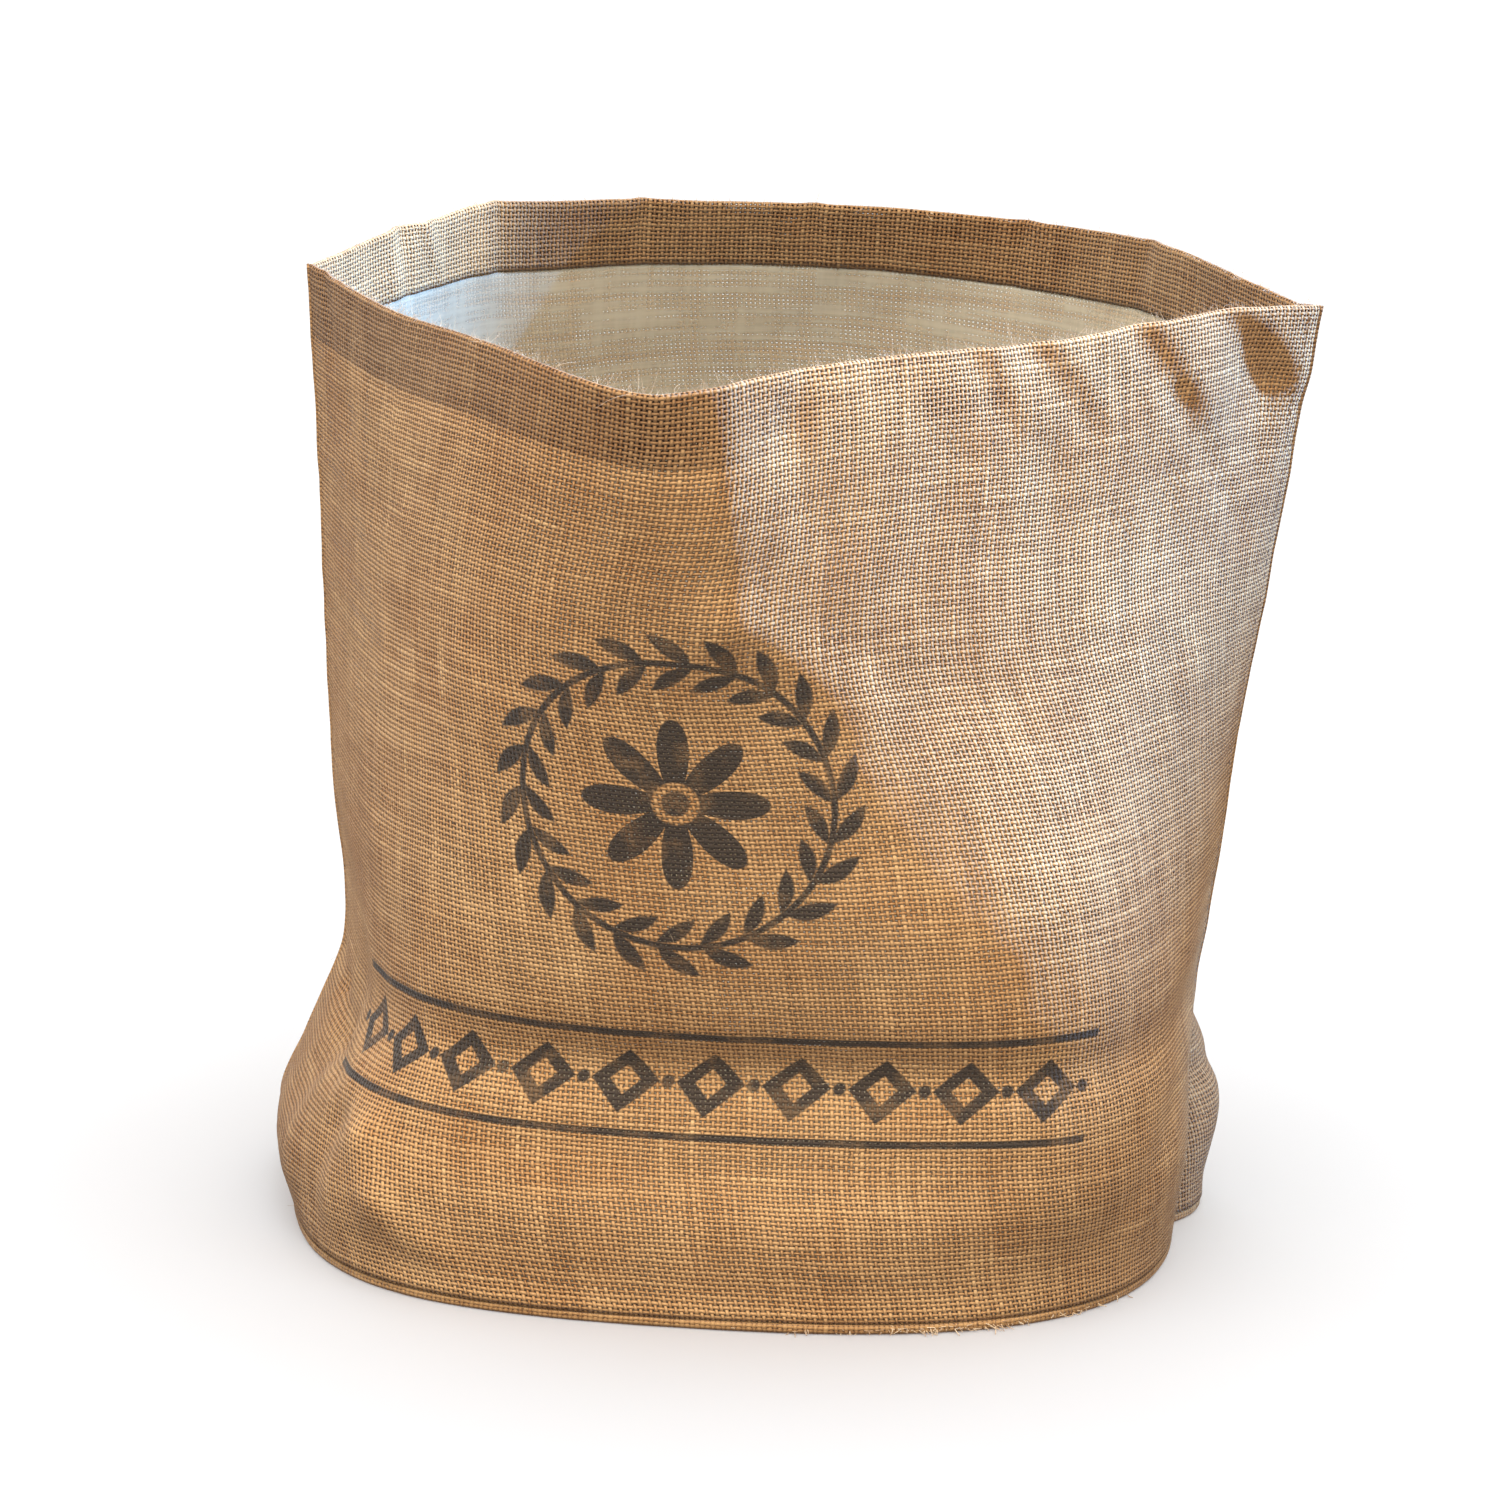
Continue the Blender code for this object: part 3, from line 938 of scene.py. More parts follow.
def jute_effect(weave: bpy.types.NodeTree) -> bpy.types.NodeTree:
    """Return jute's colour and relief on the plain weave.

    Args:
        weave: the plain weave group.

    Returns:
        The node group.
    """
    # Broad and small patches of lighter and darker cloth.
    broad_scale, broad_share = 9.0, 0.6
    small_scale, small_share = 42.0, 0.4
    patch_gain = 2.6
    # What makes a thread paler: its own tone, its fibres and its thick places.
    tone_share, fibre_share, slub_share = 0.55, 0.35, 0.25
    # Dark flecks, a painted highlight on the thread tops and painted shade in the gaps between the
    # threads.
    fleck_scale, fleck_limit, fleck_share = 520.0, 0.765, 0.7
    crown_highlight_share, valley_shade_share = 0.55, 0.95
    crown_highlight_from, valley_shade_from, valley_shade_to = 0.72, 0.12, 0.66
    roughest, smoother = 0.86, -0.12
    effect = Effect(
        "jute_cloth",
        {"Cloth": (VECTOR, None), "Pitch": (NUMBER, PITCH), "Thread": (NUMBER, THREAD),
         "Pale": (COLOUR, None), "Middle": (COLOUR, None), "Deep": (COLOUR, None),
         "Patches": (NUMBER, 0.5)},
        {"Colour": COLOUR, "Roughness": NUMBER, "Height": NUMBER, "Cover": NUMBER},
    )
    board = effect.board
    threads = board.group(
        weave, Cloth=effect.given("Cloth"), Pitch=effect.given("Pitch"),
        Thread=effect.given("Thread"),
    )
    height = Value(effect.tree, threads.outputs["Height"])
    tone = Value(effect.tree, threads.outputs["Tone"])
    slub = Value(effect.tree, threads.outputs["Slub"])
    fibre = Value(effect.tree, threads.outputs["Fibre"])
    place = effect.given("Cloth")
    broad = board.noise(place, broad_scale, 3.0) * broad_share
    small = board.noise(place, small_scale, 3.0) * small_share
    patch = (broad + small - 0.5) * effect.value("Patches") * patch_gain
    light = tone * tone_share + fibre * fibre_share + patch + slub * slub_share
    light = light.clamped()
    body = board.blend(light, effect.given("Middle"), effect.given("Pale"))
    fleck = board.noise(place, fleck_scale, 0.0).above(fleck_limit)
    body = board.blend(fleck * fleck_share, body, effect.given("Deep"))
    # Painted highlight: the highest parts of the threads are paled.
    crown_highlight = height.ramp(crown_highlight_from, 1.0)
    body = board.blend(crown_highlight * crown_highlight_share, body, effect.given("Pale"))
    # Painted shade: the low parts of the threads, down into the gaps, are darkened.
    valley_shade = 1.0 - height.ramp(valley_shade_from, valley_shade_to)
    effect.put("Colour", board.blend(valley_shade * valley_shade_share, body, effect.given("Deep")))
    effect.put("Roughness", height * smoother + roughest)
    effect.put("Height", height)
    effect.put("Cover", Value(effect.tree, threads.outputs["Cover"]))
    return effect.tree


@dataclass(frozen=True)
class Stencil:
    """The stencilled design: a leaf wreath round a rosette, over a border.

    It is laid out in metres of cloth on the front panel.  A leaf is given by the
    radius of its ring, half its length and half its breadth; a pair by where a
    shape starts to end and where it has ended, but the petal by its least reach and
    its rise, and the eye by its own radius and that of the gap round it.
    """

    middle: tuple[float, float] = (0.272, 0.222)
    edge: float = 0.0006
    stem_radius: float = 0.062
    stem_half: tuple[float, float] = (0.0009, 0.0019)
    leaves: int = 22
    leaf_tilt: float = 0.62
    outer_leaf: tuple[float, float, float] = (0.0685, 0.0105, 0.0035)
    inner_leaf: tuple[float, float, float] = (0.0555, 0.0095, 0.0032)
    petal_pairs: float = 4.0
    petal: tuple[float, float] = (0.011, 0.026)
    eye: tuple[float, float] = (0.0055, 0.0092)
    border_height: float = 0.098
    border_half: tuple[float, float] = (0.1735, 0.1745)
    line_at: float = 0.0215
    line_half: tuple[float, float] = (0.0012, 0.0022)
    beat: float = 0.034
    diamond_slant: float = 0.95
    diamond: tuple[float, float] = (0.0125, 0.0137)
    heart: tuple[float, float] = (0.0052, 0.0064)
    dot: float = 0.0026

    def disc(self, distance: Value, size: float) -> Value:
        """Return a disc of a given radius, with a soft edge."""
        return 1.0 - distance.ramp(size - self.edge, size + self.edge)

    def leaf_ring(
        self, angle: Value, radius: Value, leaf: tuple[float, float, float], tilt: float
    ) -> Value:
        """Return a ring of leaves.

        Args:
            angle: the angle round the wreath's middle.
            radius: the distance from it.
            leaf: radius of the ring, and half the length and breadth of a leaf.
            tilt: how far each leaf leans out of the ring, in radians.

        Returns:
            One on the leaves and nought elsewhere.
        """
        ring, long, broad = leaf
        turn = angle / math.tau * self.leaves
        local = (turn - turn.math("FLOOR") - 0.5) * (math.tau * ring / self.leaves)
        out = radius - ring
        lengthwise = local * math.cos(tilt) + out * math.sin(tilt)
        crosswise = (out * math.cos(tilt) - local * math.sin(tilt)).absolute()
        taper = 1.0 - (lengthwise / long).math("POWER", 2.0)
        return 1.0 - (crosswise - taper * broad).ramp(-self.edge, self.edge)

    def wreath(self, along: Value, upward: Value) -> Value:
        """Return the leaf wreath with the rosette in it.

        Args:
            along: cloth position.
            upward: cloth height.

        Returns:
            One on the print and nought elsewhere.
        """
        x = along - self.middle[0]
        y = upward - self.middle[1]
        radius = (x * x + y * y).math("SQRT")
        angle = y.math("ARCTAN2", x)
        stem = 1.0 - (radius - self.stem_radius).absolute().ramp(*self.stem_half)
        outer = self.leaf_ring(angle, radius, self.outer_leaf, self.leaf_tilt)
        inner = self.leaf_ring(angle, radius, self.inner_leaf, -self.leaf_tilt)
        least, rise = self.petal
        petals = (angle * self.petal_pairs).math("COSINE").absolute() * rise + least
        rosette = 1.0 - (radius - petals).ramp(-self.edge, self.edge)
        eye, gap = self.eye
        rosette = rosette * (1.0 - self.disc(radius, gap)) + self.disc(radius, eye)
        return stem.maximum(outer).maximum(inner).maximum(rosette)

    def border(self, along: Value, upward: Value) -> Value:
        """Return the border of open diamonds and dots between two lines.

        Args:
            along: cloth position.
            upward: cloth height.

        Returns:
            One on the print and nought elsewhere.
        """
        level = upward - self.border_height
        line = (level.absolute() - self.line_at).absolute()
        lines = 1.0 - line.ramp(*self.line_half)
        beat = along / self.beat
        from_middle = (beat - beat.math("FLOOR") - 0.5).absolute()
        diamond = from_middle * self.beat * self.diamond_slant + level.absolute()
        diamonds = 1.0 - diamond.ramp(*self.diamond)
        heart = 1.0 - diamond.ramp(*self.heart)
        from_end = from_middle * -self.beat + self.beat / 2
        dot = (from_end * from_end + level * level).math("SQRT")
        band = (diamonds - heart).maximum(self.disc(dot, self.dot)).maximum(lines)
        reach = 1.0 - (along - self.middle[0]).absolute().ramp(*self.border_half)
        return band * reach

    def build(self) -> bpy.types.NodeTree:
        """Return the design as a node group.

        Returns:
            The node group.
        """
        effect = Effect("stencil_design", {"Place": (VECTOR, None)}, {"Ink": NUMBER})
        along, upward, _ = effect.board.split(effect.given("Place"))
        print_on = self.wreath(along, upward).maximum(self.border(along, upward))
        effect.put("Ink", print_on.clamped())
        return effect.tree


# -------------------------------------------------------------------- finishes


class Slot(Enum):
    """The record's material slots."""

    JUTE = "jute"
    BASE_JUTE = "base_jute"
    FILM = "film"


def new_material(name: str) -> tuple[bpy.types.Material, Board, bpy.types.Node]:
    """Return a new material with its nodes at hand.

    Args:
        name: the material's name.

    Returns:
        The material, its board and its Principled shader.
    """
    material = bpy.data.materials.new(name)
    material.use_nodes = True
    shader = material.node_tree.nodes["Principled BSDF"]
    return material, Board(material.node_tree), shader


def add_bump(
    board: Board, shader: bpy.types.Node, height: Value, strength: float, distance: float
) -> None:
    """Feed the shader's normal from a height.

    Args:
        board: the material's board.
        shader: its Principled shader.
        height: the relief, from nought to one.
        strength: of the bump.
        distance: depth of the full relief.
    """
    bump = board.tree.nodes.new("ShaderNodeBump")
    bump.inputs["Strength"].default_value = strength
    bump.inputs["Distance"].default_value = distance
    plug(board.tree, bump.inputs["Height"], height)
    plug(board.tree, shader.inputs["Normal"], bump.outputs["Normal"])


@dataclass(frozen=True)
class JuteFinish:
    """Woven jute, with or without the stencilled print.

    Pairs are the ends of a smooth rise: the hem's painted light along the panel,
    foot_level up the cloth, foot_reach to either side of foot_middle, worn and
    take_levels in noise and thread height.  The pair take is the least ink and its
    rise on thread tops.  The hem gets painted shade, where the doubled cloth lets no
    light through, and painted light, paler, where the lamp falls on it; the foot gets
    painted shade towards its lower corners.
    """

    name: str
    pale: Colour = (0.60, 0.368, 0.168)
    middle: Colour = (0.35, 0.150, 0.043)
    deep: Colour = (0.045, 0.015, 0.004)
    ink: Colour = (0.026, 0.022, 0.020)
    thread: float = THREAD
    patches: float = 0.6
    printed: bool = False
    open_weave: bool = True
    hemmed: bool = True
    hem_from: float = 367 * MM
    # Painted shade on the doubled hem, which lets no light through.
    hem_shade: float = 0.42
    hem_edge: float = 1 * MM
    # Painted shade towards the lower corners of the wall, by the foot.
    foot_shade: float = 0.32
    foot_level: tuple[float, float] = (0.05, 0.13)
    foot_middle: float = 0.34
    foot_reach: tuple[float, float] = (0.15, 0.27)
    # Painted light: along this span the hem is paled, and not shaded, where the lamp falls on it.
    hem_painted_light_span: tuple[float, float] = (0.27, 0.33)
    hem_painted_light: float = 0.12
    sheen: float = 0.12
    sheen_roughness: float = 0.5
    sheen_tint: Colour = (0.94, 0.96, 1.0)
    shine: float = 0.18
    relief: float = 0.9 * MM
    wear_scale: float = 70.0
    worn: tuple[float, float] = (0.34, 0.52)
    wear: float = 0.22
    take_levels: tuple[float, float] = (0.16, 0.5)
    take: tuple[float, float] = (0.5, 0.45)

    def build(self, jute: bpy.types.NodeTree, stencil: bpy.types.NodeTree) -> bpy.types.Material:
        """Return the material.

        Args:
            jute: the jute cloth group.
            stencil: the stencilled design group.

        Returns:
            The finished material.
        """
        material, board, shader = new_material(self.name)
        cloth = board.group(
            jute, Cloth=board.uv(UvMap.WEAVE), Pitch=PITCH, Thread=self.thread,
            Pale=(*self.pale, 1.0), Middle=(*self.middle, 1.0), Deep=(*self.deep, 1.0),
            Patches=self.patches,
        )
        tree = material.node_tree
        height = Value(tree, cloth.outputs["Height"])
        colour = cloth.outputs["Colour"]
        place = board.uv(UvMap.PLACE)
        along, level, _ = board.split(place)
        if self.hemmed:
            hem = level.ramp(self.hem_from - self.hem_edge, self.hem_from + self.hem_edge)
            hem_painted_light_span = along.ramp(*self.hem_painted_light_span)
            # Painted shade on the hem, left out where the hem has painted light instead.
            shade = hem * (1.0 - hem_painted_light_span) * self.hem_shade
            colour = board.blend(shade, colour, (*self.deep, 1.0))
            # Painted light: the hem is paled along the lit span.
            colour = board.blend(hem * hem_painted_light_span * self.hem_painted_light, colour, (*self.pale, 1.0))
            # Painted shade: darker towards the foot at both lower corners.
            corner = (along - self.foot_middle).absolute().ramp(*self.foot_reach)
            foot = (1.0 - level.ramp(*self.foot_level)) * corner * self.foot_shade
            colour = board.blend(foot, colour, (*self.deep, 1.0))
        if self.printed:
            design = Value(tree, board.group(stencil, Place=place).outputs["Ink"])
            wear = board.noise(place, self.wear_scale, 4.0).ramp(*self.worn)
            wear = wear * self.wear + (1 - self.wear)
            least, rise = self.take
            take = height.ramp(*self.take_levels) * rise + least
            colour = board.blend(design * wear * take, colour, (*self.ink, 1.0))
        plug(tree, shader.inputs["Base Color"], colour)
        plug(tree, shader.inputs["Roughness"], cloth.outputs["Roughness"])
        if self.open_weave:
            plug(tree, shader.inputs["Alpha"], cloth.outputs["Cover"])
        shader.inputs["Sheen Weight"].default_value = self.sheen
        shader.inputs["Sheen Roughness"].default_value = self.sheen_roughness
        shader.inputs["Sheen Tint"].default_value = (*self.sheen_tint, 1.0)
        shader.inputs["Specular IOR Level"].default_value = self.shine
        add_bump(board, shader, height, 1.0, self.relief)
        return material


@dataclass(frozen=True)
class StrandFinish:
    """Loose jute fibre and sewing yarn."""

    name: str
    light: Colour = (0.62, 0.46, 0.29)
    dark: Colour = (0.36, 0.21, 0.10)
    roughness: float = 0.7
    sheen: float = 0.4
    tone_scale: float = 160.0
    tone_span: tuple[float, float] = (0.35, 0.65)
    rough_scale: float = 900.0
    rough_spread: float = 0.2

    def build(self) -> bpy.types.Material:
        """Return the material.

        Returns:
            The finished material.
        """
        material, board, shader = new_material(self.name)
        place = board.object_place()
        share = board.noise(place, self.tone_scale, 2.0).ramp(*self.tone_span)
        colour = board.blend(share, (*self.dark, 1.0), (*self.light, 1.0))
        plug(material.node_tree, shader.inputs["Base Color"], colour)
        least = self.roughness - self.rough_spread / 2
        rough = board.noise(place, self.rough_scale, 1.0) * self.rough_spread + least
        plug(material.node_tree, shader.inputs["Roughness"], rough)
        shader.inputs["Sheen Weight"].default_value = self.sheen
        return material


@dataclass(frozen=True)
class FilmFinish:
    """Thin clear film bonded to the cloth, milky where it has not taken.

    Streaks are given by their scale along and up the cloth, roughness by its least
    value and its rise.
    """

    name: str = "bonded_film"
    colour: Colour = (0.66, 0.585, 0.43)
    least: float = 0.20
    most: float = 0.46
    level_streaks: tuple[float, float] = (14.0, 260.0)
    upright_streaks: tuple[float, float] = (230.0, 10.0)
    cloud_scale: float = 16.0
    shares: tuple[float, float, float] = (0.45, 0.25, 0.3)
    milky: tuple[float, float] = (0.36, 0.64)
    roughness: tuple[float, float] = (0.18, 0.3)
    pucker_scales: tuple[float, float] = (240.0, 60.0)
    fine_pucker: float = 0.5
    relief: float = 0.5 * MM
    relief_strength: float = 0.5

    def build(self) -> bpy.types.Material:
        """Return the material.

        Returns:
            The finished material.
        """
        material, board, shader = new_material(self.name)
        tree = material.node_tree
        cloth = board.uv(UvMap.PLACE)
        along, upward, _ = board.split(cloth)
        along_scale, up_scale = self.level_streaks
        run = board.vector(along * along_scale, upward * up_scale, 0.5)
        level = board.noise(run, 1.0, 3.0)
        along_scale, up_scale = self.upright_streaks
        run = board.vector(along * along_scale, upward * up_scale, 2.5)
        upright = board.noise(run, 1.0, 3.0)
        cloudy = board.noise(cloth, self.cloud_scale, 3.0)
        level_share, upright_share, cloud_share = self.shares
        streaks = level * level_share + upright * upright_share + cloudy * cloud_share
        milk = streaks.ramp(*self.milky)
        alpha = milk * (self.most - self.least) + self.least
        shader.inputs["Base Color"].default_value = (*self.colour, 1.0)
        plug(tree, shader.inputs["Alpha"], alpha)
        smoothest, rise = self.roughness
        plug(tree, shader.inputs["Roughness"], cloudy * rise + smoothest)
        fine, broad = self.pucker_scales
        pucker = board.noise(cloth, fine, 2.0) * self.fine_pucker + board.noise(cloth, broad, 3.0)
        add_bump(board, shader, pucker, self.relief_strength, self.relief)
        return material


# ------------------------------------------------------------------ the pieces


@dataclass
class Finishes:
    """All of the bag's materials."""

    front: bpy.types.Material
    plain: bpy.types.Material
    seam: bpy.types.Material
    base: bpy.types.Material
    strand: bpy.types.Material
    yarn: bpy.types.Material
    film: bpy.types.Material

    @classmethod
    def build(cls) -> "Finishes":
        """Return the materials, made from the shared effects.

        Returns:
            All of the bag's materials.
        """
        jute = jute_effect(weave_effect())
        stencil = Stencil().build()
        return cls(
            front=JuteFinish("printed_jute", printed=True).build(jute, stencil),
            # The back's hem has painted light near its left end, where the lamp reaches inside.
            plain=JuteFinish("plain_jute", hem_painted_light_span=(0.43, 0.48), hem_painted_light=0.35).build(jute, stencil),
            # The seam rolls' jute is darker than the panels': painted shade on the strip that
            # turns away from the light.
            seam=JuteFinish(
                "seam_jute", pale=(0.46, 0.28, 0.13), middle=(0.28, 0.13, 0.042),
                thread=0.46, open_weave=False, hemmed=False,
            ).build(jute, stencil),
            base=JuteFinish(
                "base_jute", hemmed=False, pale=(0.44, 0.26, 0.11), middle=(0.24, 0.105, 0.033),
                thread=0.45, open_weave=False,
            ).build(jute, stencil),
            strand=StrandFinish("loose_fibre").build(),
            yarn=StrandFinish(
                "sewing_yarn", light=(0.17, 0.085, 0.03), dark=(0.09, 0.045, 0.016)
            ).build(),
            film=FilmFinish().build(),
        )


def seat(piece: bpy.types.Object, slot: Slot, *nodes: str) -> bpy.types.Object:
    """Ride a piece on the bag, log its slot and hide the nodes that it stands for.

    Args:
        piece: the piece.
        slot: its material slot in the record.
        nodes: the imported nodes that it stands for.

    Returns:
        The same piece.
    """
    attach(piece, "root")
    if nodes:
        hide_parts(*nodes)
    LOG.info("%s: %s", piece.name, slot.value)
    return piece


@dataclass
class JutePanel:
    """One jute panel with its turned-in hem."""

    name: str
    node: str
    first_panel: int
    wall: WallGrid
    form: WallForm
    cloth: float = 0.45 * MM
    hem_depth: float = 31 * MM
    hem_thickness: float = 2.5 * MM
    hem_foot: float = 1.45 * MM
    fold_steps: int = 5
    row_step: float = 2.6 * MM
    seam_gap: float = 0.4 * MM

    def profile(self) -> tuple[np.ndarray, np.ndarray, np.ndarray]:
        """Return the cloth's path over the rim.

        Returns:
            For each row: the wall height, the depth inside the outer surface and
            the length of cloth from the base seam.
        """
        turn = self.hem_thickness / 2
        top = self.form.cloth_height
        count = round((top - turn) / self.row_step)
        wall_up = np.linspace(0, top - turn, count + 1)
        angles = np.linspace(0, math.pi, self.fold_steps + 2)[1:-1]
        fold_up = top - turn + turn * np.sin(angles)
        fold_in = turn - turn * np.cos(angles)
        count = round((self.hem_depth - turn) / self.row_step)
        hem_up = np.linspace(top - turn, top - self.hem_depth, count + 1)
        up = np.concatenate([wall_up, fold_up, hem_up])
        hem_in = np.linspace(self.hem_thickness, self.hem_foot, count + 1)
        depth = np.concatenate([0 * wall_up, fold_in, hem_in])
        steps = np.hypot(np.diff(up), np.diff(depth))
        return up, depth, np.concatenate([[0], np.cumsum(steps)])

    def build(self, material: bpy.types.Material) -> bpy.types.Object:
        """Return the panel's piece.

        Args:
            material: the panel's finish.

        Returns:
            A mesh object at the origin.
        """
        per_panel = self.wall.columns_per_panel
        first = self.first_panel * per_panel
        columns = np.arange(first, first + per_panel + 1) % (2 * per_panel)
        up, depth, length = self.profile()
        around = np.linspace(0, self.form.panel_width, per_panel + 1)
        points = self.wall.at(up, depth)[:, columns]
        for end, beside in ((0, 1), (-1, -2)):
            way = points[:, beside] - points[:, end]
            way /= np.linalg.norm(way, axis=1, keepdims=True)
            points[:, end] += way * self.seam_gap / 2
        shift = thread_shift(up)
        leaning = around[None, :] + shift[:, None]
        weave = np.dstack(np.broadcast_arrays(leaning, length[:, None]))
        place = np.dstack(np.broadcast_arrays(around[None, :], up[:, None]))
        sheet = SheetMesh(self.name, points, {UvMap.WEAVE: weave, UvMap.PLACE: place})
        piece = sheet.build(material)
        thicken(piece, self.cloth)
        seat(piece, Slot.JUTE, self.node)
        flat = (self.form.panel_width, self.form.cloth_height + self.hem_depth)
        return piece


@dataclass
class RoundBase:
    """The round base and the rolled welt along its edge.

    The shift keeps the cloth coordinates above nought.
    """

    wall: WallGrid
    thickness: float = 1.4 * MM
    rings: int = 40
    inset: float = 3.0 * MM
    welt_height: float = 4.2 * MM
    welt_depth: float = 4.4 * MM
    welt_steps: int = 14
    welt_inset: float = 0.2 * MM
    welt_power: float = 0.7
    welt_cloth: float = 14 * MM
    fuller: float = 1.5 * MM
    fuller_at: float = 365 * MM
    fuller_reach: float = 85 * MM
    slimmer: float = 0.1 * MM
    waviness: float = 0.4 * MM
    wave_scale: float = 45.0
    low: float = 0.93
    low_waviness: float = 0.05
    shift: float = 0.5

    def outline(self, inset: float | np.ndarray) -> np.ndarray:
        """Return the wall's bottom ring moved inwards, on the floor, closed.

        Args:
            inset: how far each point moves.

        Returns:
            Points of shape (columns + 1, 3).
        """
        ring = self.wall.points[0].copy()
        way = self.wall.normals[0] * [1, 1, 0]
        ring = ring - way * np.broadcast_to(inset, (len(ring),))[:, None]
        ring[:, 2] = 0
        return np.concatenate([ring, ring[:1]])

    def build_cloth(self, material: bpy.types.Material) -> bpy.types.Object:
        """Return the flat round of cloth.

        Args:
            material: the base's finish.

        Returns:
            A mesh object at the origin.
        """
        edge = self.outline(self.inset)
        share = np.linspace(1, 0, self.rings + 1)[:, None, None]
        points = edge[None] * share
        points[..., 2] = 0
        points = points[::-1]
        flat = points[..., :2] + self.shift
        sheet = SheetMesh("base_cloth", points, {UvMap.WEAVE: flat, UvMap.PLACE: flat})
        piece = sheet.build(material)
        thicken(piece, self.thickness)
        seat(piece, Slot.BASE_JUTE, "base_panel")
        return piece

    def fuller_side(self, share: float) -> float:
        """Return a sine or cosine pushed outwards, for a squarer section."""
        return math.copysign(abs(share) ** self.welt_power, share)

    def build_welt(self, material: bpy.types.Material) -> bpy.types.Object:
        """Return the welt, fuller along the front than at the sides.

        Args:
            material: the base's finish.

        Returns:
            A mesh object at the origin.
        """
        count = len(self.wall.points[0])
        around = np.arange(count) / self.wall.columns_per_panel * PANEL_WIDTH
        from_fullest = (around - self.fuller_at) / self.fuller_reach
        wave = np.array([noise.noise(Vector((a * self.wave_scale, 0.3, 0.7))) for a in around])
        fuller = self.fuller * np.exp(-(from_fullest**2))
        proud = fuller + self.waviness * wave - self.slimmer
        closed_wave = np.append(wave, wave[0])
        rings = []
        for angle in np.linspace(0, math.tau, self.welt_steps + 1):
            depth = self.welt_depth / 2 * (1 + self.fuller_side(math.cos(angle)))
            height = self.welt_height / 2 * (1 + self.fuller_side(math.sin(angle)))
            stretch = proud * depth / self.welt_depth
            ring = self.outline(self.welt_depth - depth - stretch + self.welt_inset)
            ring[:, 2] = height * (self.low + self.low_waviness * closed_wave)
            rings.append(ring)
        rings[-1] = rings[0]
        points = np.array(rings)
        travel = np.append(around, around[-1] + around[1])
        section = np.linspace(0, self.welt_cloth, len(rings))
        flat = np.dstack(np.broadcast_arrays(travel[None, :], section[:, None]))
        sheet = SheetMesh("base_welt", points, {UvMap.WEAVE: flat, UvMap.PLACE: flat})
        piece = sheet.build(material)
        return seat(piece, Slot.BASE_JUTE, "base_panel")


@dataclass
class BondedFilm:
    """The clear film on the inside of the base and the wall, up to the hem.

    The shift keeps the cloth coordinates above nought.
    """

    wall: WallGrid
    form: WallForm
    depth: float = 0.95 * MM
    film: float = 0.10 * MM
    row_step: float = 4.5 * MM
    floor_rings: int = 24
    floor_height: float = 2.0 * MM
    corner: float = 9 * MM
    corner_steps: int = 4
    hem_depth: float = 31 * MM
    tucked: float = 1.5 * MM
    shift: float = 0.4

    def build(self, material: bpy.types.Material) -> bpy.types.Object:
        """Return the film's piece.

        Args:
            material: the film's finish.

        Returns:
            A mesh object at the origin.
        """
        top = self.form.cloth_height - self.hem_depth + self.tucked
        start = self.corner
        up = np.linspace(start, top, round((top - start) / self.row_step) + 1)
        wall = self.wall.at(up, np.full(len(up), self.depth))
        foot = self.wall.at(np.array([start]), np.array([self.depth]))[0]
        inward = -self.wall.normals[0] * [1, 1, 0]
        rings, lengths = [], []
        turn = foot[:, 2:3] - self.floor_height
        for angle in np.linspace(math.pi / 2, 0, self.corner_steps + 1)[:-1]:
            ring = foot + inward * self.corner * (1 - math.cos(angle))
            ring[:, 2:3] = self.floor_height + turn * (1 - math.sin(angle))
            rings.append(ring)
            lengths.append(start - self.corner * angle)
        edge = rings[0]
        shares = np.linspace(0, 1, self.floor_rings + 1)[:-1]
        floor = [edge * [share, share, 1] for share in shares]
        radius = float(np.linalg.norm(edge[:, :2], axis=1).mean())
        floor_lengths = list(lengths[0] - radius * (1 - shares))
        points = np.concatenate([np.array(floor + rings), wall])
        points = np.concatenate([points, points[:, :1]], axis=1)
        reach = np.concatenate([floor_lengths, lengths, up]) + self.shift
        around = np.linspace(0, 2 * self.form.panel_width, points.shape[1])
        flat = np.dstack(np.broadcast_arrays(around[None, :], reach[:, None]))
        sheet = SheetMesh("film_inside", points, {UvMap.WEAVE: flat, UvMap.PLACE: flat})
        piece = sheet.build(material)
        thicken(piece, self.film)
        seat(piece, Slot.FILM, "film_lining")
        size = (2 * self.form.panel_width, top + radius)
        area = 2 * self.form.panel_width * top + math.pi * radius**2
        return piece


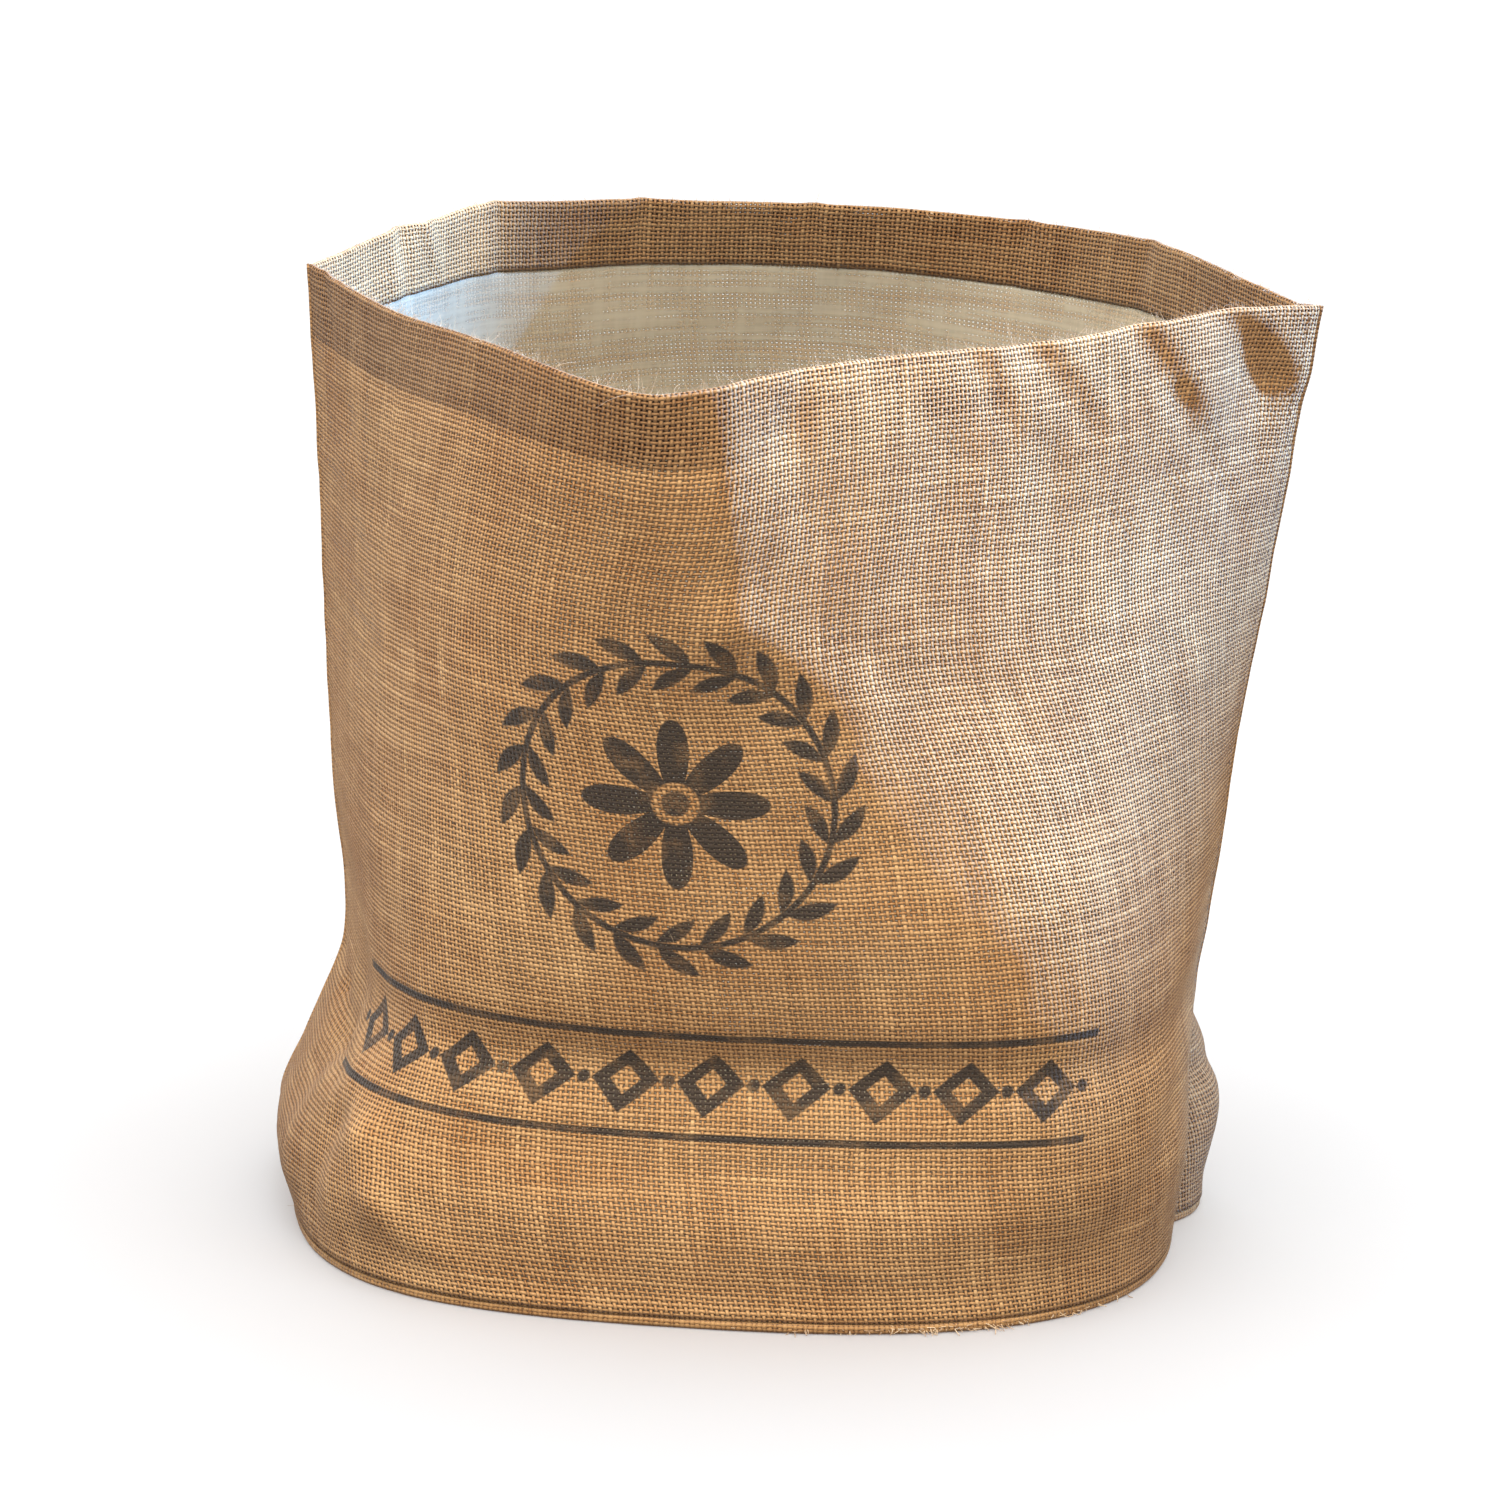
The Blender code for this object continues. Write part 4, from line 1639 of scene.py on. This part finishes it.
@dataclass
class Seams:
    """The side seams: a rolled edge on each, and the yarn sewn beside it."""

    wall: WallGrid
    form: WallForm
    roll: float = 1.1 * MM
    roll_depth: float = 0.5 * MM
    roll_rows: int = 150
    roll_steps: int = 8
    stitch: float = 3.4 * MM
    stitch_pitch: float = 5.2 * MM
    yarn: float = 0.42 * MM
    from_seam: float = 7.5 * MM
    from_end: float = 6 * MM
    stitch_path: tuple[float, ...] = (0, 0.2, 0.5, 0.8, 1)
    stitch_sunk: tuple[float, ...] = (0.9, 0.2, 0.05, 0.2, 0.9)

    def build_roll(
        self, name: str, seam: int, material: bpy.types.Material
    ) -> bpy.types.Object:
        """Return the rolled edge along one seam.

        Args:
            name: the piece's name.
            seam: the wall column on which the seam lies.
            material: the roll's finish.

        Returns:
            A closed mesh object at the origin.
        """
        up = np.linspace(0, self.form.cloth_height, self.roll_rows)
        centre = self.wall.at(up, np.full(len(up), self.roll_depth))[:, seam]
        way = self.wall.normals[0, seam] * [1, 1, 0]
        way = way / np.linalg.norm(way)
        side = np.array([-way[1], way[0], 0])
        angles = np.linspace(0, math.tau, self.roll_steps + 1)
        section = np.outer(np.cos(angles), way) + np.outer(np.sin(angles), side)
        points = centre[:, None] + section[None] * self.roll
        flat = np.dstack(np.broadcast_arrays(angles[None, :] * self.roll, up[:, None]))
        maps = {UvMap.WEAVE: flat, UvMap.PLACE: flat}
        piece = SheetMesh(name, points, maps, capped=True).build(material)
        return seat(piece, Slot.JUTE)

    def build_stitches(self, material: bpy.types.Material) -> bpy.types.Object:
        """Return the yarn sewn beside both seams.

        Args:
            material: the yarn's finish.

        Returns:
            A mesh object at the origin.
        """
        per_panel = self.wall.columns_per_panel
        offset = round(self.from_seam / self.form.panel_width * per_panel)
        strands = []
        last = self.form.cloth_height - self.from_end
        starts = np.arange(self.from_end, last, self.stitch_pitch)
        sunk = np.array(self.stitch_sunk) * MM
        for column in (per_panel - offset, 2 * per_panel - offset):
            for start in starts:
                up = np.array(self.stitch_path) * self.stitch + start
                strands.append(self.wall.at(up, sunk)[:, column])
        piece = strand_piece("seam_stitches", strands, self.yarn, 1.0, material)
        return seat(piece, Slot.JUTE)


@dataclass
class Fray:
    """Loose fibre on the rim and frayed yarn at the foot of the bag.

    Pairs are the two numbers of a random draw, in millimetres where they are lengths.
    """

    wall: WallGrid
    form: WallForm
    seed: int = 7
    rim_hairs: int = 1500
    face_hairs: int = 1100
    yarn_ends: int = 130
    hair_points: int = 5
    bend: float = 0.5
    sag: float = 0.8
    hair_radius: float = 0.065 * MM
    hair_tip: float = 0.4
    rim_climb: float = 0.75
    rim_lean: tuple[float, float] = (-1.0, 0.6)
    rim_stray: float = 0.35
    rim_sunk: tuple[float, float] = (0.2, 2.6)
    rim_below: float = 0.6 * MM
    rim_length: tuple[float, float] = (3.0, 1.0)
    face_lean: tuple[float, float] = (0.25, 0.9)
    face_stray: float = 0.6
    face_sunk: float = 0.5
    face_length: tuple[float, float] = (2.5, 0.8)
    end_radius: float = 0.24 * MM
    end_tip: float = 0.6
    end_stray: float = 0.8
    end_droop: float = -0.15
    end_length: tuple[float, float] = (1.5, 4.2)
    end_sunk: float = 0.3
    end_start: tuple[float, float] = (0.8, 3.0)
    end_heights: tuple[float, float] = (0.3 * MM, 4.5 * MM)
    ends_middle: float = 405
    ends_spread: float = 34
    ends_span: tuple[float, float] = (300, 500)
    draw: np.random.Generator = field(init=False)

    def __post_init__(self) -> None:
        """Seed the random draws."""
        self.draw = np.random.default_rng(self.seed)

    def hair(self, root: np.ndarray, way: np.ndarray, length: float) -> np.ndarray:
        """Return the points of one bent hair.

        Args:
            root: where it starts.
            way: the unit way in which it leaves.
            length: of the hair.

        Returns:
            Points of shape (points, 3).
        """
        bend = self.draw.normal(size=3) * self.bend
        steps = np.linspace(0, 1, self.hair_points)[:, None]
        return root + (way * steps + bend * steps**2 * self.sag) * length

    def build_rim(self, material: bpy.types.Material) -> bpy.types.Object:
        """Return the fibres along the rim and over the cloth's face.

        Args:
            material: the fibres' finish.

        Returns:
            A mesh object at the origin.
        """
        strands = []
        columns = len(self.wall.points[0])
        rim = self.wall.points[-1]
        for _ in range(self.rim_hairs):
            column = int(self.draw.integers(columns))
            out = self.wall.normals[-1, column]
            lean = self.draw.uniform(*self.rim_lean)
            stray = self.draw.normal(size=3) * self.rim_stray
            way = np.array([0, 0, self.rim_climb]) + out * lean + stray
            way /= np.linalg.norm(way)
            root = rim[column] - out * self.draw.uniform(*self.rim_sunk) * MM
            root = root - [0, 0, self.rim_below]
            strands.append(self.hair(root, way, self.draw.gamma(*self.rim_length) * MM))
        for _ in range(self.face_hairs):
            column = int(self.draw.integers(columns))
            row = int(self.draw.integers(2, len(self.wall.up) - 4))
            out = self.wall.normals[row, column]
            lean = self.draw.uniform(*self.face_lean)
            way = out * lean + self.draw.normal(size=3) * self.face_stray
            way /= np.linalg.norm(way)
            root = self.wall.points[row, column] - out * self.face_sunk * MM
            strands.append(self.hair(root, way, self.draw.gamma(*self.face_length) * MM))
        piece = strand_piece(
            "loose_fibres", strands, self.hair_radius, self.hair_tip, material
        )
        return seat(piece, Slot.JUTE)

    def build_foot(self, material: bpy.types.Material) -> bpy.types.Object:
        """Return the frayed yarn ends that lie in front of the welt.

        Args:
            material: the ends' finish.

        Returns:
            A mesh object at the origin.
        """
        strands = []
        per_panel = self.wall.columns_per_panel
        for _ in range(self.yarn_ends):
            drawn = self.draw.normal(self.ends_middle, self.ends_spread)
            around = float(np.clip(drawn, *self.ends_span)) * MM
            column = round(around / self.form.panel_width * per_panel)
            out = self.wall.normals[0, column] * [1, 1, 0]
            along = np.array([-out[1], out[0], 0])
            root = self.wall.points[0, column] * [1, 1, 0] - out * self.end_sunk * MM
            root = root + [0, 0, self.draw.uniform(*self.end_start) * MM]
            way = out + along * self.draw.normal() * self.end_stray + [0, 0, self.end_droop]
            way /= np.linalg.norm(way)
            strand = self.hair(root, way, self.draw.uniform(*self.end_length) * MM)
            strand[:, 2] = np.clip(strand[:, 2], *self.end_heights)
            strands.append(strand)
        piece = strand_piece(
            "welt_yarn_ends", strands, self.end_radius, self.end_tip, material
        )
        return seat(piece, Slot.BASE_JUTE)


# ---------------------------------------------------------------------- studio


class LightKind(Enum):
    """Kinds of light that the studio uses."""

    SPOT = "SPOT"
    AREA = "AREA"


@dataclass(frozen=True)
class BagLight:
    """One light on the bag: where it stands, what it faces and how strong it is."""

    name: str
    kind: LightKind
    azimuth: float
    elevation: float
    power: float
    colour: Colour
    middle: tuple[float, float, float] = (0.0, 0.0, 0.2)
    distance: float = 2.0
    size: float = 1.2
    cone: float = 0.0
    blend: float = 0.08

    def add(self) -> bpy.types.Object:
        """Add the light, turned to the point that it faces.

        Angles are in degrees: azimuth from +X towards +Y, elevation above the floor
        and the full cone of a spot.

        Returns:
            The light.
        """
        data = bpy.data.lights.new(self.name, self.kind.value)
        data.energy = self.power
        data.color = self.colour
        if self.kind is LightKind.SPOT:
            data.spot_size = math.radians(self.cone)
            data.spot_blend = self.blend
            data.shadow_soft_size = self.size
        else:
            data.size = self.size
        light = bpy.data.objects.new(self.name, data)
        bpy.context.collection.objects.link(light)
        turn, rise = math.radians(self.azimuth), math.radians(self.elevation)
        level = math.cos(rise)
        way = Vector((math.cos(turn) * level, math.sin(turn) * level, math.sin(rise)))
        facing = way.to_track_quat("Z", "Y").to_matrix().to_4x4()
        place = Vector(self.middle) + way * self.distance
        light.matrix_world = Matrix.Translation(place) @ facing
        return light


COOL = (0.20, 0.47, 1.0)
WARM = (1.0, 0.92, 0.80)
NEUTRAL = (0.95, 0.98, 1.0)
LIGHTS = (
    BagLight(
        "key", LightKind.SPOT, 26, 25, 2350, COOL, middle=(-0.0955, -0.434, 0.597),
        distance=3.0, size=0.07, cone=22.6,
    ),
    BagLight(
        "bulge_spot", LightKind.SPOT, 0, 25, 2900, COOL, middle=(0.192, 0.006, 0.066),
        distance=3.0, size=0.07, cone=1.3,
    ),
    BagLight("front_top", LightKind.AREA, -92, 58, 54, WARM),
    BagLight("left_fill", LightKind.AREA, -135, 45, 14, NEUTRAL),
)


@dataclass
class Studio:
    """The camera, the floor, the white surround and the lights."""

    eye: tuple[float, float, float] = (0.0, -2.783, 0.941)
    aim: tuple[float, float, float] = (-0.009, 0.0, 0.188)
    focal_share: float = 6955 / 1500
    sensor: float = 36.0
    roll: float = math.radians(2.62)
    white: tuple[float, float, float, float] = (1.0, 1.0, 1.0, 1.0)
    bounce: tuple[float, float, float, float] = (0.26, 0.20, 0.15, 1.0)
    surround: float = 1.28
    floor_size: float = 8.0
    floor_deep: tuple[float, float, float, float] = (0.92, 0.93, 0.945, 1.0)
    floor_pale: tuple[float, float, float, float] = (0.94, 0.95, 0.965, 1.0)

    def build(self) -> None:
        """Set up everything."""
        self.add_camera()
        self.add_floor()
        self.add_lights()

    def add_camera(self) -> None:
        """Place the camera at the photograph's viewing angle."""
        data = bpy.data.cameras.new("camera")
        data.sensor_width = self.sensor
        data.lens = self.focal_share * self.sensor
        data.clip_end = 50
        camera = bpy.data.objects.new("camera", data)
        bpy.context.collection.objects.link(camera)
        eye = Vector(self.eye)
        ahead = (Vector(self.aim) - eye).normalized()
        right = ahead.cross(Vector((0, 0, 1))).normalized()
        above = right.cross(ahead)
        turned_right = right * math.cos(self.roll) + above * math.sin(self.roll)
        turned_above = above * math.cos(self.roll) - right * math.sin(self.roll)
        turn = Matrix((turned_right, turned_above, -ahead)).transposed()
        camera.matrix_world = Matrix.Translation(eye) @ turn.to_4x4()
        bpy.context.scene.camera = camera

    def add_floor(self) -> None:
        """Lay a plain pale floor."""
        mesh = bmesh.new()
        bmesh.ops.create_grid(mesh, x_segments=1, y_segments=1, size=self.floor_size)
        material, board, shader = new_material("pale_floor")
        tone = board.noise(board.object_place(), 3.0, 2.0).ramp(0.2, 0.8)
        colour = board.blend(tone, self.floor_deep, self.floor_pale)
        plug(board.tree, shader.inputs["Base Color"], colour)
        shader.inputs["Roughness"].default_value = 0.8
        floor = finish_mesh(mesh, "floor", material)
        floor.visible_diffuse = False

    def add_lights(self) -> None:
        """Light the bag, and only the bag, with two cool spots and two soft lights."""
        self.add_surround()
        bag = bpy.data.collections.new("bag_only")
        for item in bpy.context.scene.objects:
            if item.type == "MESH" and item.name != "floor":
                bag.objects.link(item)
        for light in LIGHTS:
            light.add().light_linking.receiver_collection = bag
        bpy.context.scene.view_settings.view_transform = "Standard"

    def add_surround(self) -> None:
        """Surround the stage with white above the floor and a dim warm bounce below."""
        world = bpy.data.worlds.new("surround")
        world.use_nodes = True
        board = Board(world.node_tree)
        way = world.node_tree.nodes.new("ShaderNodeTexCoord").outputs["Generated"]
        above = board.split(way)[2].ramp(-0.05, 0.05)
        backdrop = world.node_tree.nodes["Background"]
        plug(board.tree, backdrop.inputs["Color"], board.blend(above, self.bounce, self.white))
        backdrop.inputs["Strength"].default_value = self.surround
        bpy.context.scene.world = world


def main() -> None:
    """Build the bag's looks and the studio."""
    logging.basicConfig(level=logging.INFO, format="%(name)s %(message)s")
    finishes = Finishes.build()
    form = WallForm()
    fine = form.build(PANEL_COLUMNS)
    coarse = form.build(FILM_COLUMNS)
    JutePanel("front_cloth", "front_panel", 0, fine, form).build(finishes.front)
    JutePanel("back_cloth", "back_panel", 1, fine, form).build(finishes.plain)
    base = RoundBase(fine)
    base.build_cloth(finishes.base)
    base.build_welt(finishes.base)
    BondedFilm(coarse, form).build(finishes.film)
    seams = Seams(fine, form)
    seams.build_roll("left_seam_roll", 0, finishes.seam)
    seams.build_roll("right_seam_roll", fine.columns_per_panel, finishes.seam)
    seams.build_stitches(finishes.yarn)
    fray = Fray(fine, form)
    fray.build_rim(finishes.strand)
    fray.build_foot(finishes.strand)
    Studio().build()


if __name__ == "__main__":
    main()
